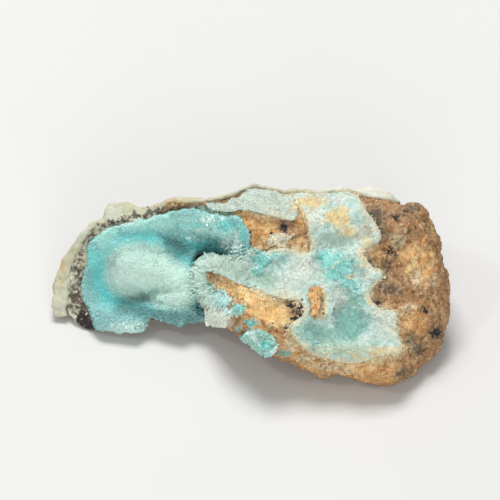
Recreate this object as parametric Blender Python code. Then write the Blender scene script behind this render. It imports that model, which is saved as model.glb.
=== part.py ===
"""Blue hemimorphite on limonite: a hand specimen 90 mm long, as it lies on a table.

The specimen is drawn on its broken face, in millimetres:
    a  along the specimen, to the right
    b  up the face
    c  out of the face, towards whoever looks straight at it
The face leans back by LEAN when the stone rests on its flat underside. Each piece is a slab between
two height sheets over one shared map of points, so neighbours follow each other at an even gap.
"""

import math

import bmesh
import bpy
import numpy as np
from mathutils import Matrix, Vector, noise
from mathutils.geometry import delaunay_2d_cdt

# --- driving dimensions, in millimetres unless they say otherwise ---------------------------------

LEAN = math.radians(42)  # the face's tilt back from upright
FACE_ORIGIN = (0.0, 0.0, 14.7)  # where a = b = c = 0 stands above the table
GAP = 0.35  # kept between a crust and the rock under it
FRONT_STEP = 2.15  # spacing of the map's points on the broken face
BACK_STEP = 3.0  # and on the back
OUTLINE_STEP = 1.9
FRONT_RING = 1.0  # a second row of points just inside the rim, which rounds its edge
BACK_RINGS = (0.04, 0.14, 0.3, 0.52)  # rows down the steep sides, as shares of their rounding

FRONT_ROUNDING = 8.0  # how far in from the rim the front reaches its full height
BACK_ROUNDING = 11.0
SWELL = 8.5  # the right half of the face stands this far proud of its rim
SWELL_FROM, SWELL_TO = -14.0, -2.0  # where that swell begins and is complete, along a
BACK_DEPTH_LEFT, BACK_DEPTH_MIDDLE, BACK_DEPTH_RIGHT = 11.0, 14.0, 20.0  # below the rim

HOLLOW_DEPTH_LEFT, HOLLOW_DEPTH_RIGHT = 6.0, 9.5  # the long hollow's floor below the rim
HOLLOW_WALL = 5.0  # width of its sloping wall
FLOOR_THICKNESS = 2.2  # least rock between the hollow and the table

CRUST_EDGE = 0.9  # thickness where a crust ends
DRUSE_THICKNESS = 1.5
DRUSE_POINT = 0.75  # height of the crystal points on the druse
VEIN_THICKNESS = 4.0
VEIN_RAMP = 4.5
VEIN_RISE = 0.5  # the vein stands a little proud of the bare rock
FAN_MIDDLE, FAN_RIBS = (-5.6, 1.4), 18  # the fan of fibres at the vein's left end
RIDGE_LINE = [(-9.6, 3.9), (-5.5, 1.6), (0.0, -1.4), (6.0, -3.6)]  # the rock's ridge beside it
RIDGE_FOOT = 2.8  # how far the ridge's foot spreads into the hollow
CHIP_THICKNESS = 0.9
HEAD_SIZE = 5.0  # spacing of the round heads of the outside crust
CRUST_CLEARANCE, CRUST_LOWEST = 1.5, 0.4  # keeps the outside crust off the table
WARP = 1.3  # broad bending of every piece alike, so that no wall of the stone stays straight
ROCK_ROUGHNESS = 1.1
WALL_ROW = 2.4  # tall edges of a crust are divided into rows of this height

# --- outlines on the face ---------------------------------------------------------------------------

# The rock's rim, with the level c that it runs at: far back at the narrow left end, forward at the
# lower right, where the face overhangs the table.
RIM = [
    (-41.5, -2.3, -11.5), (-41.9, 1.4, -11.5), (-41.2, 5.0, -11.0), (-39.9, 8.7, -10.5),
    (-38.5, 11.4, -9.5), (-36.9, 13.7, -9.0), (-34.2, 14.8, -8.5), (-31.2, 15.8, -8.0),
    (-28.0, 16.6, -7.5), (-24.6, 17.1, -7.0), (-21.2, 17.5, -6.5), (-19.1, 19.8, -6.0),
    (-16.2, 20.0, -5.5), (-14.6, 19.6, -5.5), (-10.7, 19.8, -5.0), (-8.0, 20.3, -4.5),
    (-5.2, 21.2, -4.0), (-2.7, 22.3, -3.5), (-0.2, 23.3, -3.0), (1.8, 22.8, -3.0),
    (5.0, 22.3, -3.2), (8.2, 21.6, -3.5), (10.9, 22.1, -3.2), (14.8, 21.8, -3.0),
    (18.7, 21.6, -3.0), (22.8, 21.4, -3.2), (26.9, 21.0, -3.0), (30.8, 20.5, -3.0),
    (34.6, 20.0, -3.0), (37.1, 20.5, -3.0), (39.0, 20.2, -3.0), (40.1, 18.7, -3.0),
    (41.7, 15.9, -3.0), (43.1, 12.8, -3.0), (44.0, 8.7, -3.5), (44.8, 4.6, -4.0),
    (45.1, 0.7, -4.0), (44.9, -3.4, -4.0), (44.9, -8.0, -4.0), (44.0, -12.1, -3.5),
    (42.4, -14.6, -2.5), (39.9, -16.6, -1.0), (36.7, -19.4, 0.5), (33.5, -21.4, 1.5),
    (29.8, -22.1, 2.5), (26.4, -21.2, 3.0), (22.8, -20.0, 3.5), (20.5, -18.8, 3.5),
    (17.8, -20.3, 3.0), (15.0, -20.3, 3.0), (11.8, -18.2, 4.0), (8.4, -15.9, 4.5),
    (4.8, -14.4, 5.0), (1.6, -12.5, 5.0), (-1.4, -10.5, 5.0), (-4.1, -8.9, 4.0),
    (-6.4, -8.2, 0.5), (-8.4, -7.3, -4.0), (-10.7, -6.9, -7.0), (-13.7, -7.6, -7.5),
    (-17.1, -7.9, -8.0), (-20.5, -7.6, -8.5), (-23.6, -7.5, -9.0), (-24.9, -9.4, -9.5),
    (-27.4, -10.0, -9.5), (-30.1, -9.8, -10.0), (-33.3, -9.8, -10.5), (-36.0, -9.5, -11.0),
    (-38.6, -9.0, -11.5), (-40.6, -7.4, -12.0), (-41.7, -4.8, -12.0),
]
# The long hollow itself. It runs on to the right under the fibrous vein.
HOLLOW = [
    (-39.0, 0.9), (-38.0, 7.5), (-35.5, 12.3), (-31.2, 14.6), (-24.6, 16.3), (-17.8, 17.6),
    (-10.3, 17.6), (-4.6, 16.2), (-1.0, 12.6), (0.4, 9.0), (-1.5, 4.5), (-5.0, 1.0),
    (-7.5, -3.0), (-9.5, -7.0), (-14.0, -7.4), (-20.0, -6.8), (-27.0, -8.0), (-34.0, -7.8),
    (-38.0, -4.0),
]
# Crusts may be drawn past the rim: only what lies inside it is made.
DRUSE = [
    (-39.0, 0.9), (-38.5, 5.0), (-37.8, 8.7), (-36.4, 11.6), (-34.2, 13.2), (-31.2, 14.6),
    (-28.0, 15.7), (-24.6, 16.3), (-21.2, 16.7), (-17.8, 17.8), (-14.1, 18.1), (-10.3, 18.2),
    (-7.5, 17.4), (-4.6, 17.1), (-2.7, 16.4), (-1.8, 14.4), (-0.9, 12.3), (0.0, 10.7),
    (-0.7, 9.1), (-2.7, 7.9), (-5.5, 7.7), (-8.2, 8.4), (-10.7, 8.4), (-12.3, 7.3),
    (-13.7, 5.5), (-14.8, 3.4), (-14.4, 0.9), (-13.7, -1.4), (-12.1, -2.7), (-10.3, -3.9),
    (-9.8, -5.9), (-10.0, -9.1), (-11.4, -11.8), (-29.6, -12.5), (-34.9, -12.5), (-35.1, -9.3),
    (-36.2, -6.8), (-37.1, -4.6), (-38.3, -2.1),
]
VEIN = [
    (-9.3, -3.9), (-9.8, -3.0), (-11.6, -2.1), (-12.9, -0.9), (-13.7, 0.9), (-14.0, 3.2),
    (-13.0, 5.2), (-11.8, 6.7), (-10.3, 7.6), (-8.2, 7.6), (-5.5, 7.0), (-2.7, 7.2),
    (-0.2, 8.4), (0.8, 9.9), (1.8, 8.9), (3.6, 8.5), (5.9, 9.3), (8.4, 9.3), (10.9, 9.2),
    (13.4, 8.4), (13.9, 9.8), (13.4, 12.5), (12.8, 15.5), (11.4, 18.7), (10.7, 20.7),
    (11.2, 23.9), (18.2, 25.1), (25.1, 22.8), (25.3, 19.8), (26.0, 17.8), (27.6, 15.3),
    (28.9, 13.0), (29.2, 11.4), (27.1, 10.5), (25.1, 9.3), (24.8, 7.7), (26.0, 5.5),
    (27.6, 4.3), (29.4, 4.1), (29.8, 2.7), (28.2, 1.6), (27.1, -0.2), (26.9, -2.5),
    (28.9, -3.9), (31.7, -4.1), (33.3, -4.8), (33.0, -6.8), (32.8, -9.1), (33.7, -11.4),
    (34.2, -13.0), (31.9, -13.9), (28.7, -14.6), (26.0, -15.7), (22.8, -16.4), (19.4, -15.9),
    (16.4, -15.0), (13.7, -13.7), (11.6, -11.8), (10.0, -10.0), (8.7, -8.7), (9.6, -7.1),
    (11.6, -6.2), (12.5, -5.0), (11.8, -3.0), (9.1, -2.3), (5.9, -1.6), (2.7, -0.2),
    (0.0, 0.9), (-2.7, 1.9), (-5.5, 3.1), (-8.2, 4.4), (-10.0, 4.6), (-10.5, 3.4),
    (-9.6, 1.8), (-8.2, 0.5), (-5.9, -0.2), (-4.6, -1.6), (-3.0, -3.0), (-1.4, -3.4),
    (-1.6, -4.3), (-3.6, -5.2), (-5.5, -6.2), (-5.5, -7.3), (-5.0, -10.3), (-8.7, -9.1),
]
TOP_SLAB = [
    (-10.2, 19.4), (-7.3, 20.0), (-4.6, 20.9), (-2.3, 21.9), (0.0, 25.1), (5.7, 24.6),
    (9.4, 23.2), (9.8, 20.7), (10.1, 18.5), (10.3, 16.4), (8.7, 15.7), (5.9, 16.2),
    (3.2, 16.7), (0.5, 17.3), (-2.3, 18.2), (-5.0, 18.2), (-7.6, 18.4), (-9.6, 18.7),
]
LOWER_DRUSE = [
    (-0.2, -9.4), (1.8, -8.9), (3.9, -9.4), (5.4, -10.9), (5.7, -13.2), (4.1, -17.0),
    (0.0, -15.0), (-1.5, -11.4),
]
CHIP = [  # a flake of limonite held in the vein
    (14.4, 0.4), (15.9, 0.4), (16.8, -1.4), (16.5, -3.6), (15.8, -6.0), (14.2, -6.1),
    (13.7, -4.1), (13.9, -1.8),
]
# The pale crust on the outside: it wraps the left end and the top edge, and is drawn past the rim.
BACK_CRUST = [
    (-46.0, -2.3), (-46.0, 6.0), (-43.0, 14.0), (-36.0, 19.0), (-28.0, 22.0), (-16.0, 24.0),
    (-2.0, 27.0), (12.0, 26.0), (26.0, 25.0), (34.5, 23.5), (34.5, 19.0), (29.6, 13.5),
    (22.8, 11.4), (13.7, 9.1), (4.6, 6.8), (-4.6, 5.8), (-13.7, 5.4), (-22.8, 4.2),
    (-30.0, 3.4), (-35.0, 1.0), (-37.4, -2.4), (-37.6, -6.6), (-38.6, -11.0), (-43.0, -9.0),
]

# --- landforms: (name, middle, half sizes, turn in degrees, height) ----------------------------------

MOUNDS = [  # rounded heads of radiating crystals that stand in the long hollow
    ("main_head", (-26.8, 4.6), (6.2, 5.8), 0, 8.2),
    ("upper_shoulder", (-22.4, 5.6), (5.6, 4.2), -12, 6.8),
    ("right_head", (-18.2, 1.2), (6.2, 5.2), -25, 8.0),
    ("low_knob", (-21.4, -1.2), (2.6, 2.2), 0, 4.6),
    ("far_knob", (-15.6, -1.4), (2.6, 2.8), 0, 5.0),
    ("left_knob", (-31.2, 3.2), (2.6, 3.4), 0, 4.4),
]
VEIN_FORMS = [
    ("pocket", (23.2, -6.9), (4.2, 5.4), 12, -7.0),
    ("grey_dip", (3.6, 2.6), (3.4, 2.2), -25, -1.8),
    ("right_dip", (31.2, -5.2), (2.6, 2.0), 0, -1.4),
    ("lower_slope", (14.6, -9.6), (6.4, 4.6), -38, -2.0),
    ("fan_crest", (-9.6, 5.4), (5.0, 3.2), 10, 1.2),
    ("pale_roll", (18.8, -0.8), (2.6, 5.2), 18, 0.9),
    ("lower_roll", (24.5, -13.4), (9.5, 2.4), 4, 1.3),
    ("upper_dip", (18.5, 10.6), (6.5, 3.2), 0, -1.6),
]
ROCK_FORMS = [
    ("hinge_ridge", (2.2, -1.6), (12.5, 2.4), -23, 1.7),
    ("ridge_end", (10.6, -4.4), (3.2, 2.4), 0, 1.0),
    ("lower_branch", (5.0, -12.6), (14.0, 2.6), -35, 1.2),
    ("top_patch", (4.6, 13.4), (9.5, 5.0), -22, 1.7),
    ("cracked_block", (10.6, 13.2), (3.0, 5.2), 8, 1.0),
    ("end_boss", (37.5, -2.0), (7.0, 12.0), 4, 1.4),
    ("upper_boss", (33.6, 13.6), (6.0, 4.6), -20, 1.0),
    ("chipped_corner", (38.6, -13.6), (4.6, 3.4), 35, -1.6),
    ("cleft", (33.0, 8.0), (1.3, 5.5), -38, -1.2),
    ("black_pit", (42.2, -9.8), (1.8, 1.6), 0, -1.3),
    ("lower_boss", (33.0, -18.2), (8.0, 2.6), 12, 0.9),
]
BACK_CHIPS = [  # (a, b, depth): flat faces that break up the rounded back
    (-36.0, 3.0, 0.9), (-27.0, 12.5, 1.0), (-16.0, 15.0, 1.3), (-17.0, 2.0, 1.0),
    (-4.0, 17.0, 1.6), (4.0, 8.0, 1.6), (10.0, 18.0, 1.8), (14.0, 2.0, 1.2),
    (24.0, 18.0, 1.8), (25.0, 6.0, 1.8), (36.0, 16.0, 2.0), (41.0, 4.0, 2.2),
    (36.0, 4.0, 1.4), (41.0, -9.0, 2.0), (31.0, -6.0, 1.6), (31.0, -18.0, 1.8),
    (20.0, -13.0, 1.6), (9.0, -9.0, 1.8), (2.0, -4.0, 1.2),
]
FRONT_CHIPS = [  # and the bare rock at the right of the face
    (41.5, 13.0, 0.7), (36.0, 17.0, 0.6), (31.0, 9.5, 0.8), (39.5, 4.0, 0.9),
    (42.5, -4.0, 0.8), (34.0, -1.0, 0.7), (38.5, -10.0, 0.9), (33.0, -17.5, 0.8),
    (25.0, -19.0, 0.6), (7.0, 14.5, 0.5), (1.5, 12.0, 0.5), (12.0, -15.5, 0.6),
]
CRUST_WIDTHS = [  # (a, b, thickness) of the pale outside crust along the rim and over the back
    (-41.5, -2.3, 3.6), (-41.2, 5.0, 2.4), (-38.5, 11.4, 1.3), (-36.9, 13.7, 1.0),
    (-34.2, 14.8, 0.6), (-31.2, 15.8, 3.3), (-28.0, 16.6, 3.7), (-24.6, 17.1, 2.0),
    (-21.2, 17.5, 1.9), (-19.1, 19.8, 0.8), (-14.6, 19.6, 0.9), (-8.0, 20.3, 0.7),
    (-2.7, 22.3, 0.6), (1.8, 22.8, 0.8), (8.2, 21.6, 0.7), (14.8, 21.8, 0.5),
    (22.8, 21.4, 0.7), (26.9, 21.0, 2.1), (30.8, 20.5, 2.3), (34.6, 20.0, 0.9),
    (-41.2, -4.8, 3.2), (-40.1, -7.1, 2.6), (-38.3, -8.9, 1.2), (-30.0, 8.0, 2.6),
    (-15.0, 10.0, 2.4), (0.0, 13.0, 2.6), (20.0, 15.0, 2.2),
]

# --- colours, roughness: the materials of the pieces ---------------------------------------------------

MATERIALS = {
    "limonite": ((0.42, 0.25, 0.12), 0.9),
    "turquoise_druse": ((0.36, 0.66, 0.66), 0.35),
    "fibrous_hemimorphite": ((0.62, 0.74, 0.72), 0.4),
    "botryoidal_crust": ((0.66, 0.68, 0.55), 0.5),
}

# --- curves and distances on the face --------------------------------------------------------------------


def smooth_loop(points, step):
    """Evenly spaced points on a smooth closed curve through the given ones."""
    p = np.array(points, float)
    before, after, beyond = np.roll(p, 1, 0), np.roll(p, -1, 0), np.roll(p, -2, 0)
    fine = []
    for t in np.arange(0, 1, 0.125):
        fine.append(
            0.5 * (2 * p + (after - before) * t + (2 * before - 5 * p + 4 * after - beyond) * t**2
                   + (3 * p - before - 3 * after + beyond) * t**3)
        )
    fine = np.stack(fine, 1).reshape(-1, p.shape[1])
    closed = np.vstack([fine, fine[:1]])
    along = np.concatenate([[0], np.cumsum(np.linalg.norm(np.diff(closed[:, :2], axis=0), axis=1))])
    count = max(6, round(along[-1] / step))
    at = np.linspace(0, along[-1], count, endpoint=False)
    return np.stack([np.interp(at, along, closed[:, k]) for k in range(p.shape[1])], 1)


def inside(loop, a, b):
    """Which of the points (a, b) lie inside a closed loop."""
    x0, y0 = loop[:, 0], loop[:, 1]
    x1, y1 = np.roll(x0, -1), np.roll(y0, -1)
    a, b = np.atleast_1d(a)[:, None], np.atleast_1d(b)[:, None]
    crosses = (y0 > b) != (y1 > b)
    rise = np.where(y1 == y0, 1.0, y1 - y0)
    return ((a < x0 + (b - y0) * (x1 - x0) / rise) & crosses).sum(1) % 2 == 1


def distance(loop, a, b):
    """How far each point lies from a closed loop, positive inside it."""
    p = np.stack([np.atleast_1d(a), np.atleast_1d(b)], 1)[:, None]
    start = loop[None, :, :2]
    run = np.roll(loop[:, :2], -1, 0)[None] - start
    t = np.clip(((p - start) * run).sum(2) / (run**2).sum(2), 0, 1)
    away = np.linalg.norm(p - start - t[..., None] * run, axis=2).min(1)
    return np.where(inside(loop, a, b), away, -away)


def ease(x):
    """0 below 0, 1 above 1, and a smooth step between."""
    x = np.clip(x, 0, 1)
    return x * x * (3 - 2 * x)


def rounded(away, width):
    """A quarter-round profile: 0 at the rim, 1 from width inwards."""
    return np.sqrt(np.clip(1 - (1 - np.clip(away / width, 0, 1)) ** 2, 0, 1))


def radius_in(form, a, b):
    """Distance from a landform's middle, as a share of its half sizes."""
    _, middle, half, turn, _ = form
    s, k = math.sin(math.radians(turn)), math.cos(math.radians(turn))
    u, v = a - middle[0], b - middle[1]
    return np.hypot((u * k + v * s) / half[0], (v * k - u * s) / half[1])


def swells(forms, a, b):
    """The sum of some landforms, each a smooth hill or dip."""
    total = np.zeros_like(a)
    for form in forms:
        total += form[4] * (1 - np.clip(radius_in(form, a, b), 0, 1) ** 2) ** 1.5
    return total


def rough(a, b, size, seed):
    """Smooth noise between about -1 and 1, with waves of a given size."""
    return np.array([noise.noise((x / size, y / size, seed)) for x, y in zip(a, b)])


def drift(place, size):
    """A smooth sideways push in space, with waves of a given size."""
    p = Vector(place) / size
    return Vector([noise.noise(p + Vector((offset, 0.5 * offset, 0))) for offset in (0, 31, 67)])


def cleaved(points, size):
    """Flat facets about a given size across, each tilted its own way, with small steps between."""
    level = []
    for place in points:
        p = Vector(place) / size
        middle = noise.voronoi(p)[1][0]
        tilt = noise.cell_vector(middle * 61) - Vector((0.5, 0.5, 0.5))
        level.append(2 * (p - middle).dot(tilt))
    return np.array(level)


def on_level(a, b, level):
    """Points in space for places on the face."""
    return np.column_stack([a, b, np.full_like(a, level)])


def rounded_heads(points, size):
    """Ball-like heads packed side by side in space, 1 at their tops and 0 between them."""
    away = np.array([noise.voronoi(Vector(p) / size)[0][0] for p in points])
    return np.sqrt(np.clip(1 - (away / 0.75) ** 2, 0, 1))


RIM_LOOP = smooth_loop(RIM, OUTLINE_STEP)
HOLLOW_LOOP = smooth_loop(HOLLOW, OUTLINE_STEP)
DRUSE_LOOP = smooth_loop(DRUSE, OUTLINE_STEP)
VEIN_LOOP = smooth_loop(VEIN, OUTLINE_STEP)
SLAB_LOOP = smooth_loop(TOP_SLAB, OUTLINE_STEP)
LOWER_LOOP = smooth_loop(LOWER_DRUSE, OUTLINE_STEP)
CRUST_LOOP = smooth_loop(BACK_CRUST, OUTLINE_STEP)
CHIP_LOOP = smooth_loop(CHIP, 1.0)

# --- height sheets over the face ----------------------------------------------------------------------------


def rim_level(a, b):
    """A sheet stretched across the rim."""
    away = np.hypot(a[:, None] - RIM_LOOP[None, :, 0], b[:, None] - RIM_LOOP[None, :, 1])
    weight = 1 / (away + 1e-6) ** 3.5
    return (weight * RIM_LOOP[None, :, 2]).sum(1) / weight.sum(1)


def table_level(b):
    """c of the table's top under each point of the face."""
    return -(FACE_ORIGIN[2] + b * math.cos(LEAN)) / math.sin(LEAN)


def face_level(a, b):
    """The broken face as it would be with no hollow in it."""
    swell = SWELL * ease((a - SWELL_FROM) / (SWELL_TO - SWELL_FROM))
    return rim_level(a, b) + swell * rounded(distance(RIM_LOOP, a, b), FRONT_ROUNDING)


def back_level(a, b):
    """The back as a smooth, rounded sheet."""
    depth = np.interp(a, (-36, -12, 8), (BACK_DEPTH_LEFT, BACK_DEPTH_MIDDLE, BACK_DEPTH_RIGHT))
    width = back_rounding(a)
    return rim_level(a, b) - depth * rounded(distance(RIM_LOOP, a, b), width)


def back_rounding(a):
    return np.interp(a, (-30, 0), (0.6 * BACK_ROUNDING, BACK_ROUNDING))


def facets(sheet, spots, a, b):
    """Nearly flat faces that touch a sheet near some spots, each sunk by the spot's depth; the
    deepest of them at each point. The back's are sunk towards the front."""
    spot_a, spot_b, depth = np.array(spots).T
    here = sheet(spot_a, spot_b)
    slope_a = (sheet(spot_a + 1, spot_b) - sheet(spot_a - 1, spot_b)) / 2
    slope_b = (sheet(spot_a, spot_b + 1) - sheet(spot_a, spot_b - 1)) / 2
    right, up = a[:, None] - spot_a, b[:, None] - spot_b
    plane = here + slope_a * right + slope_b * up
    bow = 0.025 * (right**2 + up**2)
    if sheet is back_level:
        return (plane + depth - bow).max(1)
    return (plane - depth + bow).min(1)


def covered(a, b):
    """1 under a crust or a vein, 0 on bare rock, with a short ramp between."""
    loops = (DRUSE_LOOP, VEIN_LOOP, SLAB_LOOP, LOWER_LOOP)
    return ease(np.max([distance(loop, a, b) for loop in loops], axis=0) / 2.0 + 1)


def near_line(line, a, b, width):
    """1 along a line, falling to 0 at half as far again as the given distance."""
    p = np.stack([a, b], 1)[:, None]
    start, end = np.array(line[:-1], float), np.array(line[1:], float)
    run = end - start
    t = np.clip(((p - start) * run).sum(2) / (run**2).sum(1), 0, 1)
    away = np.linalg.norm(p - start - t[..., None] * run, axis=2).min(1)
    return ease(1.5 - away / width)


def hollow_share(a, b):
    """1 on the hollow's floor and 0 outside it. The rock's long ridge cuts into its right end."""
    share = ease(distance(HOLLOW_LOOP, a, b) / HOLLOW_WALL)
    return share * (1 - near_line(RIDGE_LINE, a, b, RIDGE_FOOT))


def rock_front(a, b):
    """The limonite's front: the bare rock, and the beds that the crystals grow on."""
    into_rim = distance(RIM_LOOP, a, b)
    hollow = hollow_share(a, b)
    floor = rim_level(a, b) - np.interp(a, (-32, -10), (HOLLOW_DEPTH_LEFT, HOLLOW_DEPTH_RIGHT))
    bare = (1 - covered(a, b)) * rounded(into_rim, 3.0)
    plain = face_level(a, b)
    plain += bare * (np.minimum(plain, facets(face_level, FRONT_CHIPS, a, b)) - plain)
    bed = VEIN_THICKNESS * ease(distance(VEIN_LOOP, a, b) / VEIN_RAMP)
    forms = swells(ROCK_FORMS, a, b) * rounded(into_rim, 2.5)
    crags = ROCK_ROUGHNESS * (cleaved(on_level(a, b, 18), 6.0) + 0.7 * rough(a, b, 5.0, 11.0))
    grain = 0.3 * rough(a, b, 2.1, 5.0)
    level = (plain - bed + forms) * (1 - hollow) + floor * hollow + bare * (crags + grain)
    return np.maximum(level, np.minimum(table_level(b) + FLOOR_THICKNESS, rim_level(a, b)))


def rock_back(a, b):
    """The limonite's back, cut off flat where it rests."""
    into_rim = np.maximum(distance(RIM_LOOP, a, b), 0)
    level = np.maximum(back_level(a, b), facets(back_level, BACK_CHIPS, a, b))
    level -= 0.8 * rounded(into_rim, 4.0) * rough(a, b, 9.0, 21.0)
    level = np.minimum(level, rim_level(a, b) - np.minimum(0.8 * into_rim, 4.0))
    return np.maximum(level, table_level(b))


def druse_thickness(points):
    """The hollow's lining, thickest along the hollow's lower lip."""
    a, b = points[:, 0], points[:, 1]
    lip = 1.4 * ease((-4.0 - b) / 3)
    into = ease(distance(DRUSE_LOOP, a, b) / 1.5)
    waves = np.maximum(0.8 * rough(a, b, 4.0, 41.0), -0.4)
    return CRUST_EDGE + into * (DRUSE_THICKNESS - CRUST_EDGE + waves) + lip


def mound_height(points):
    """Rounded heads of crystals on the hollow's floor, merged where they meet."""
    a, b = points[:, 0], points[:, 1]
    total = np.zeros_like(a)
    for form in MOUNDS:
        dome = form[4] * (1 - np.clip(radius_in(form, a, b), 0, 1) ** 2.6) ** 0.7
        total += dome**3
    total = total ** (1 / 3)
    return total + ease(total / 3) * (0.5 * rough(a, b, 1.7, 31.0) + 0.4 * rough(a, b, 3.4, 35.0))


def vein_front(a, b):
    """The broken, fibrous face of the vein that fills the middle and right."""
    level = face_level(a, b) + VEIN_RISE + swells(VEIN_FORMS, a, b)
    level += 0.5 * rough(a, b, 4.0, 51.0) + 0.9 * cleaved(on_level(a, b, 28), 5.0)
    fan_a, fan_b = FAN_MIDDLE
    turn = np.arctan2(b - fan_b, a - fan_a)
    near = ease(1.4 - np.hypot(a - fan_a, b - fan_b) / 9)
    over_hollow = ease(distance(HOLLOW_LOOP, a, b) / 3 + 0.5)
    level -= 2.6 * over_hollow * (1 - rounded(distance(VEIN_LOOP, a, b), 2.6))
    return level + 0.35 * near * np.sin(turn * FAN_RIBS)


def vein_thickness(points):
    """Up to the vein's face; thin at its edges, where it meets bare rock."""
    a, b, c = points.T
    edge = CRUST_EDGE + 1.2 * ease(distance(VEIN_LOOP, a, b) / 1.5)
    return np.maximum(vein_front(a, b) - c - GAP, edge)


def skin_thickness(points):
    """The thin slab and patch at the face's edges."""
    a, b = points[:, 0], points[:, 1]
    return CRUST_EDGE + 0.5 * (1 + rough(a, b, 2.6, 61.0) + cleaved(on_level(a, b, 23), 3.4))


def back_crust_thickness(points):
    """A crust of rounded heads on the outside."""
    anchors = np.array(CRUST_WIDTHS)
    away = np.hypot(points[:, :1] - anchors[:, 0], points[:, 1:2] - anchors[:, 1])
    weight = 1 / (away + 0.5) ** 3
    full = (weight * anchors[:, 2]).sum(1) / weight.sum(1)
    heads = 0.6 * rounded_heads(points, HEAD_SIZE) + 0.25 * rounded_heads(points, HEAD_SIZE / 2.2)
    away = distance(CRUST_LOOP, points[:, 0], points[:, 1])
    return np.maximum(full * (0.35 + heads) * ease(away / 3 + 0.2), 0.6)


def chip_thickness(points):
    a, b = points[:, 0], points[:, 1]
    return CHIP_THICKNESS * ease(distance(CHIP_LOOP, a, b) / 1.2 + 0.5) + 0.2 * rough(a, b, 1.5, 81.0)


# --- the shared maps --------------------------------------------------------------------------------------------


def far_from(candidates, taken, least):
    """The candidates that keep a least distance from every point already taken."""
    away = np.linalg.norm(candidates[:, None] - taken[None], axis=2).min(1)
    return candidates[away >= least]


def rim_ring(inset, turn):
    """Every other point of the rim, moved inwards."""
    run = (np.roll(RIM_LOOP, -1, 0) - np.roll(RIM_LOOP, 1, 0))[:, :2]
    inward = np.stack([run[:, 1], -run[:, 0]], 1) / np.linalg.norm(run, axis=1)[:, None]
    ring = RIM_LOOP[:, :2] + inset[:, None] * inward
    return ring[distance(RIM_LOOP, ring[:, 0], ring[:, 1]) > 0.8 * inset][turn::2]


def face_map(loops, rings, step):
    """Points over the face and the triangles between them. The rim's points come first, and the
    edges of each loop are kept where they lie clear inside the rim."""
    points = RIM_LOOP[:, :2].copy()
    rim_count = len(points)
    keep = [(i, (i + 1) % rim_count) for i in range(rim_count)]
    for loop in loops:
        used = distance(RIM_LOOP, loop[:, 0], loop[:, 1]) > 0.45 * OUTLINE_STEP
        number = np.cumsum(used) - 1 + len(points)
        for i in range(len(loop)):
            j = (i + 1) % len(loop)
            if used[i] and used[j]:
                keep.append((int(number[i]), int(number[j])))
        points = np.vstack([points, loop[used, :2]])
    for turn, inset in enumerate(rings):
        ring = rim_ring(inset, turn % 2)
        taken = points[rim_count:]
        points = np.vstack([points, far_from(ring, taken, 0.9) if len(taken) else ring])
    rows = np.arange(-30, 30, step * math.sqrt(0.75))
    grid = [(x + (n % 2) * step / 2, y) for n, y in enumerate(rows) for x in np.arange(-50, 50, step)]
    shake = [drift((x, y, 1.5), 1.0)[:2] for x, y in grid]
    grid = np.array(grid) + 0.3 * step * np.array(shake)
    grid = grid[inside(RIM_LOOP, grid[:, 0], grid[:, 1])]
    points = np.vstack([points, far_from(grid, points, 0.62 * step)])
    made = delaunay_2d_cdt([Vector(p) for p in points], keep, [], 0, 1e-5)
    if len(made[0]) != len(points):
        raise ValueError("two outlines cross, so the map has points that the sheets don't share")
    triangles = np.array([[made[3][v][0] for v in face] for face in made[2]])
    return points, within_loop(RIM_LOOP, points, triangles)


def within_loop(loop, points, triangles):
    """The triangles whose middle lies inside a loop."""
    middle = points[triangles].mean(1)
    return triangles[inside(loop, middle[:, 0], middle[:, 1])]


def one_patch(triangles):
    """The largest patch that hangs together along edges, with no corners that only touch."""
    while True:
        groups = joined(triangles, range(len(triangles)), None)
        keep = set(max(groups, key=len))
        for v in np.unique(triangles):
            around = [t for t in keep if v in triangles[t]]
            fans = joined(triangles, around, v)
            if len(fans) > 1:
                keep -= {t for fan in sorted(fans, key=len)[:-1] for t in fan}
        if len(keep) == len(triangles):
            return triangles
        triangles = triangles[sorted(keep)]


def joined(triangles, members, corner):
    """Groups of triangles that share edges; only edges at a corner count when one is given."""
    by_edge = {}
    for t in members:
        i, j, k = (int(v) for v in triangles[t])
        for edge in ((i, j), (j, k), (k, i)):
            if corner is None or corner in edge:
                by_edge.setdefault(frozenset(edge), []).append(t)
    neighbours = {t: set() for t in members}
    for pair in by_edge.values():
        for t in pair:
            neighbours[t].update(pair)
    groups, seen = [], set()
    for first in members:
        if first in seen:
            continue
        group, waiting = set(), [first]
        while waiting:
            t = waiting.pop()
            if t not in group:
                group.add(t)
                waiting.extend(neighbours[t])
        seen |= group
        groups.append(group)
    return groups


def quartered(triangles, count):
    """Triangles cut in four at the middles of their edges, and the two parents of each new point."""
    parents, small = {}, []
    for i, j, k in triangles.tolist():
        cut = []
        for pair in ((i, j), (j, k), (k, i)):
            cut.append(parents.setdefault(tuple(sorted(pair)), count + len(parents)))
        small += [(i, cut[0], cut[2]), (cut[0], j, cut[1]), (cut[2], cut[1], k), tuple(cut)]
    return np.array(small), parents


def normals(points, triangles):
    """The mean direction of the triangles around each point."""
    corner = points[triangles]
    facing = np.cross(corner[:, 1] - corner[:, 0], corner[:, 2] - corner[:, 0])
    total = np.zeros_like(points)
    for k in range(3):
        np.add.at(total, triangles[:, k], facing)
    return total / np.maximum(np.linalg.norm(total, axis=1), 1e-9)[:, None]


# --- solids ---------------------------------------------------------------------------------------------------------


def height(points):
    """Height above the table, before the stone is warped."""
    return points @ np.array((0, math.cos(LEAN), math.sin(LEAN))) + FACE_ORIGIN[2]


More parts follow.
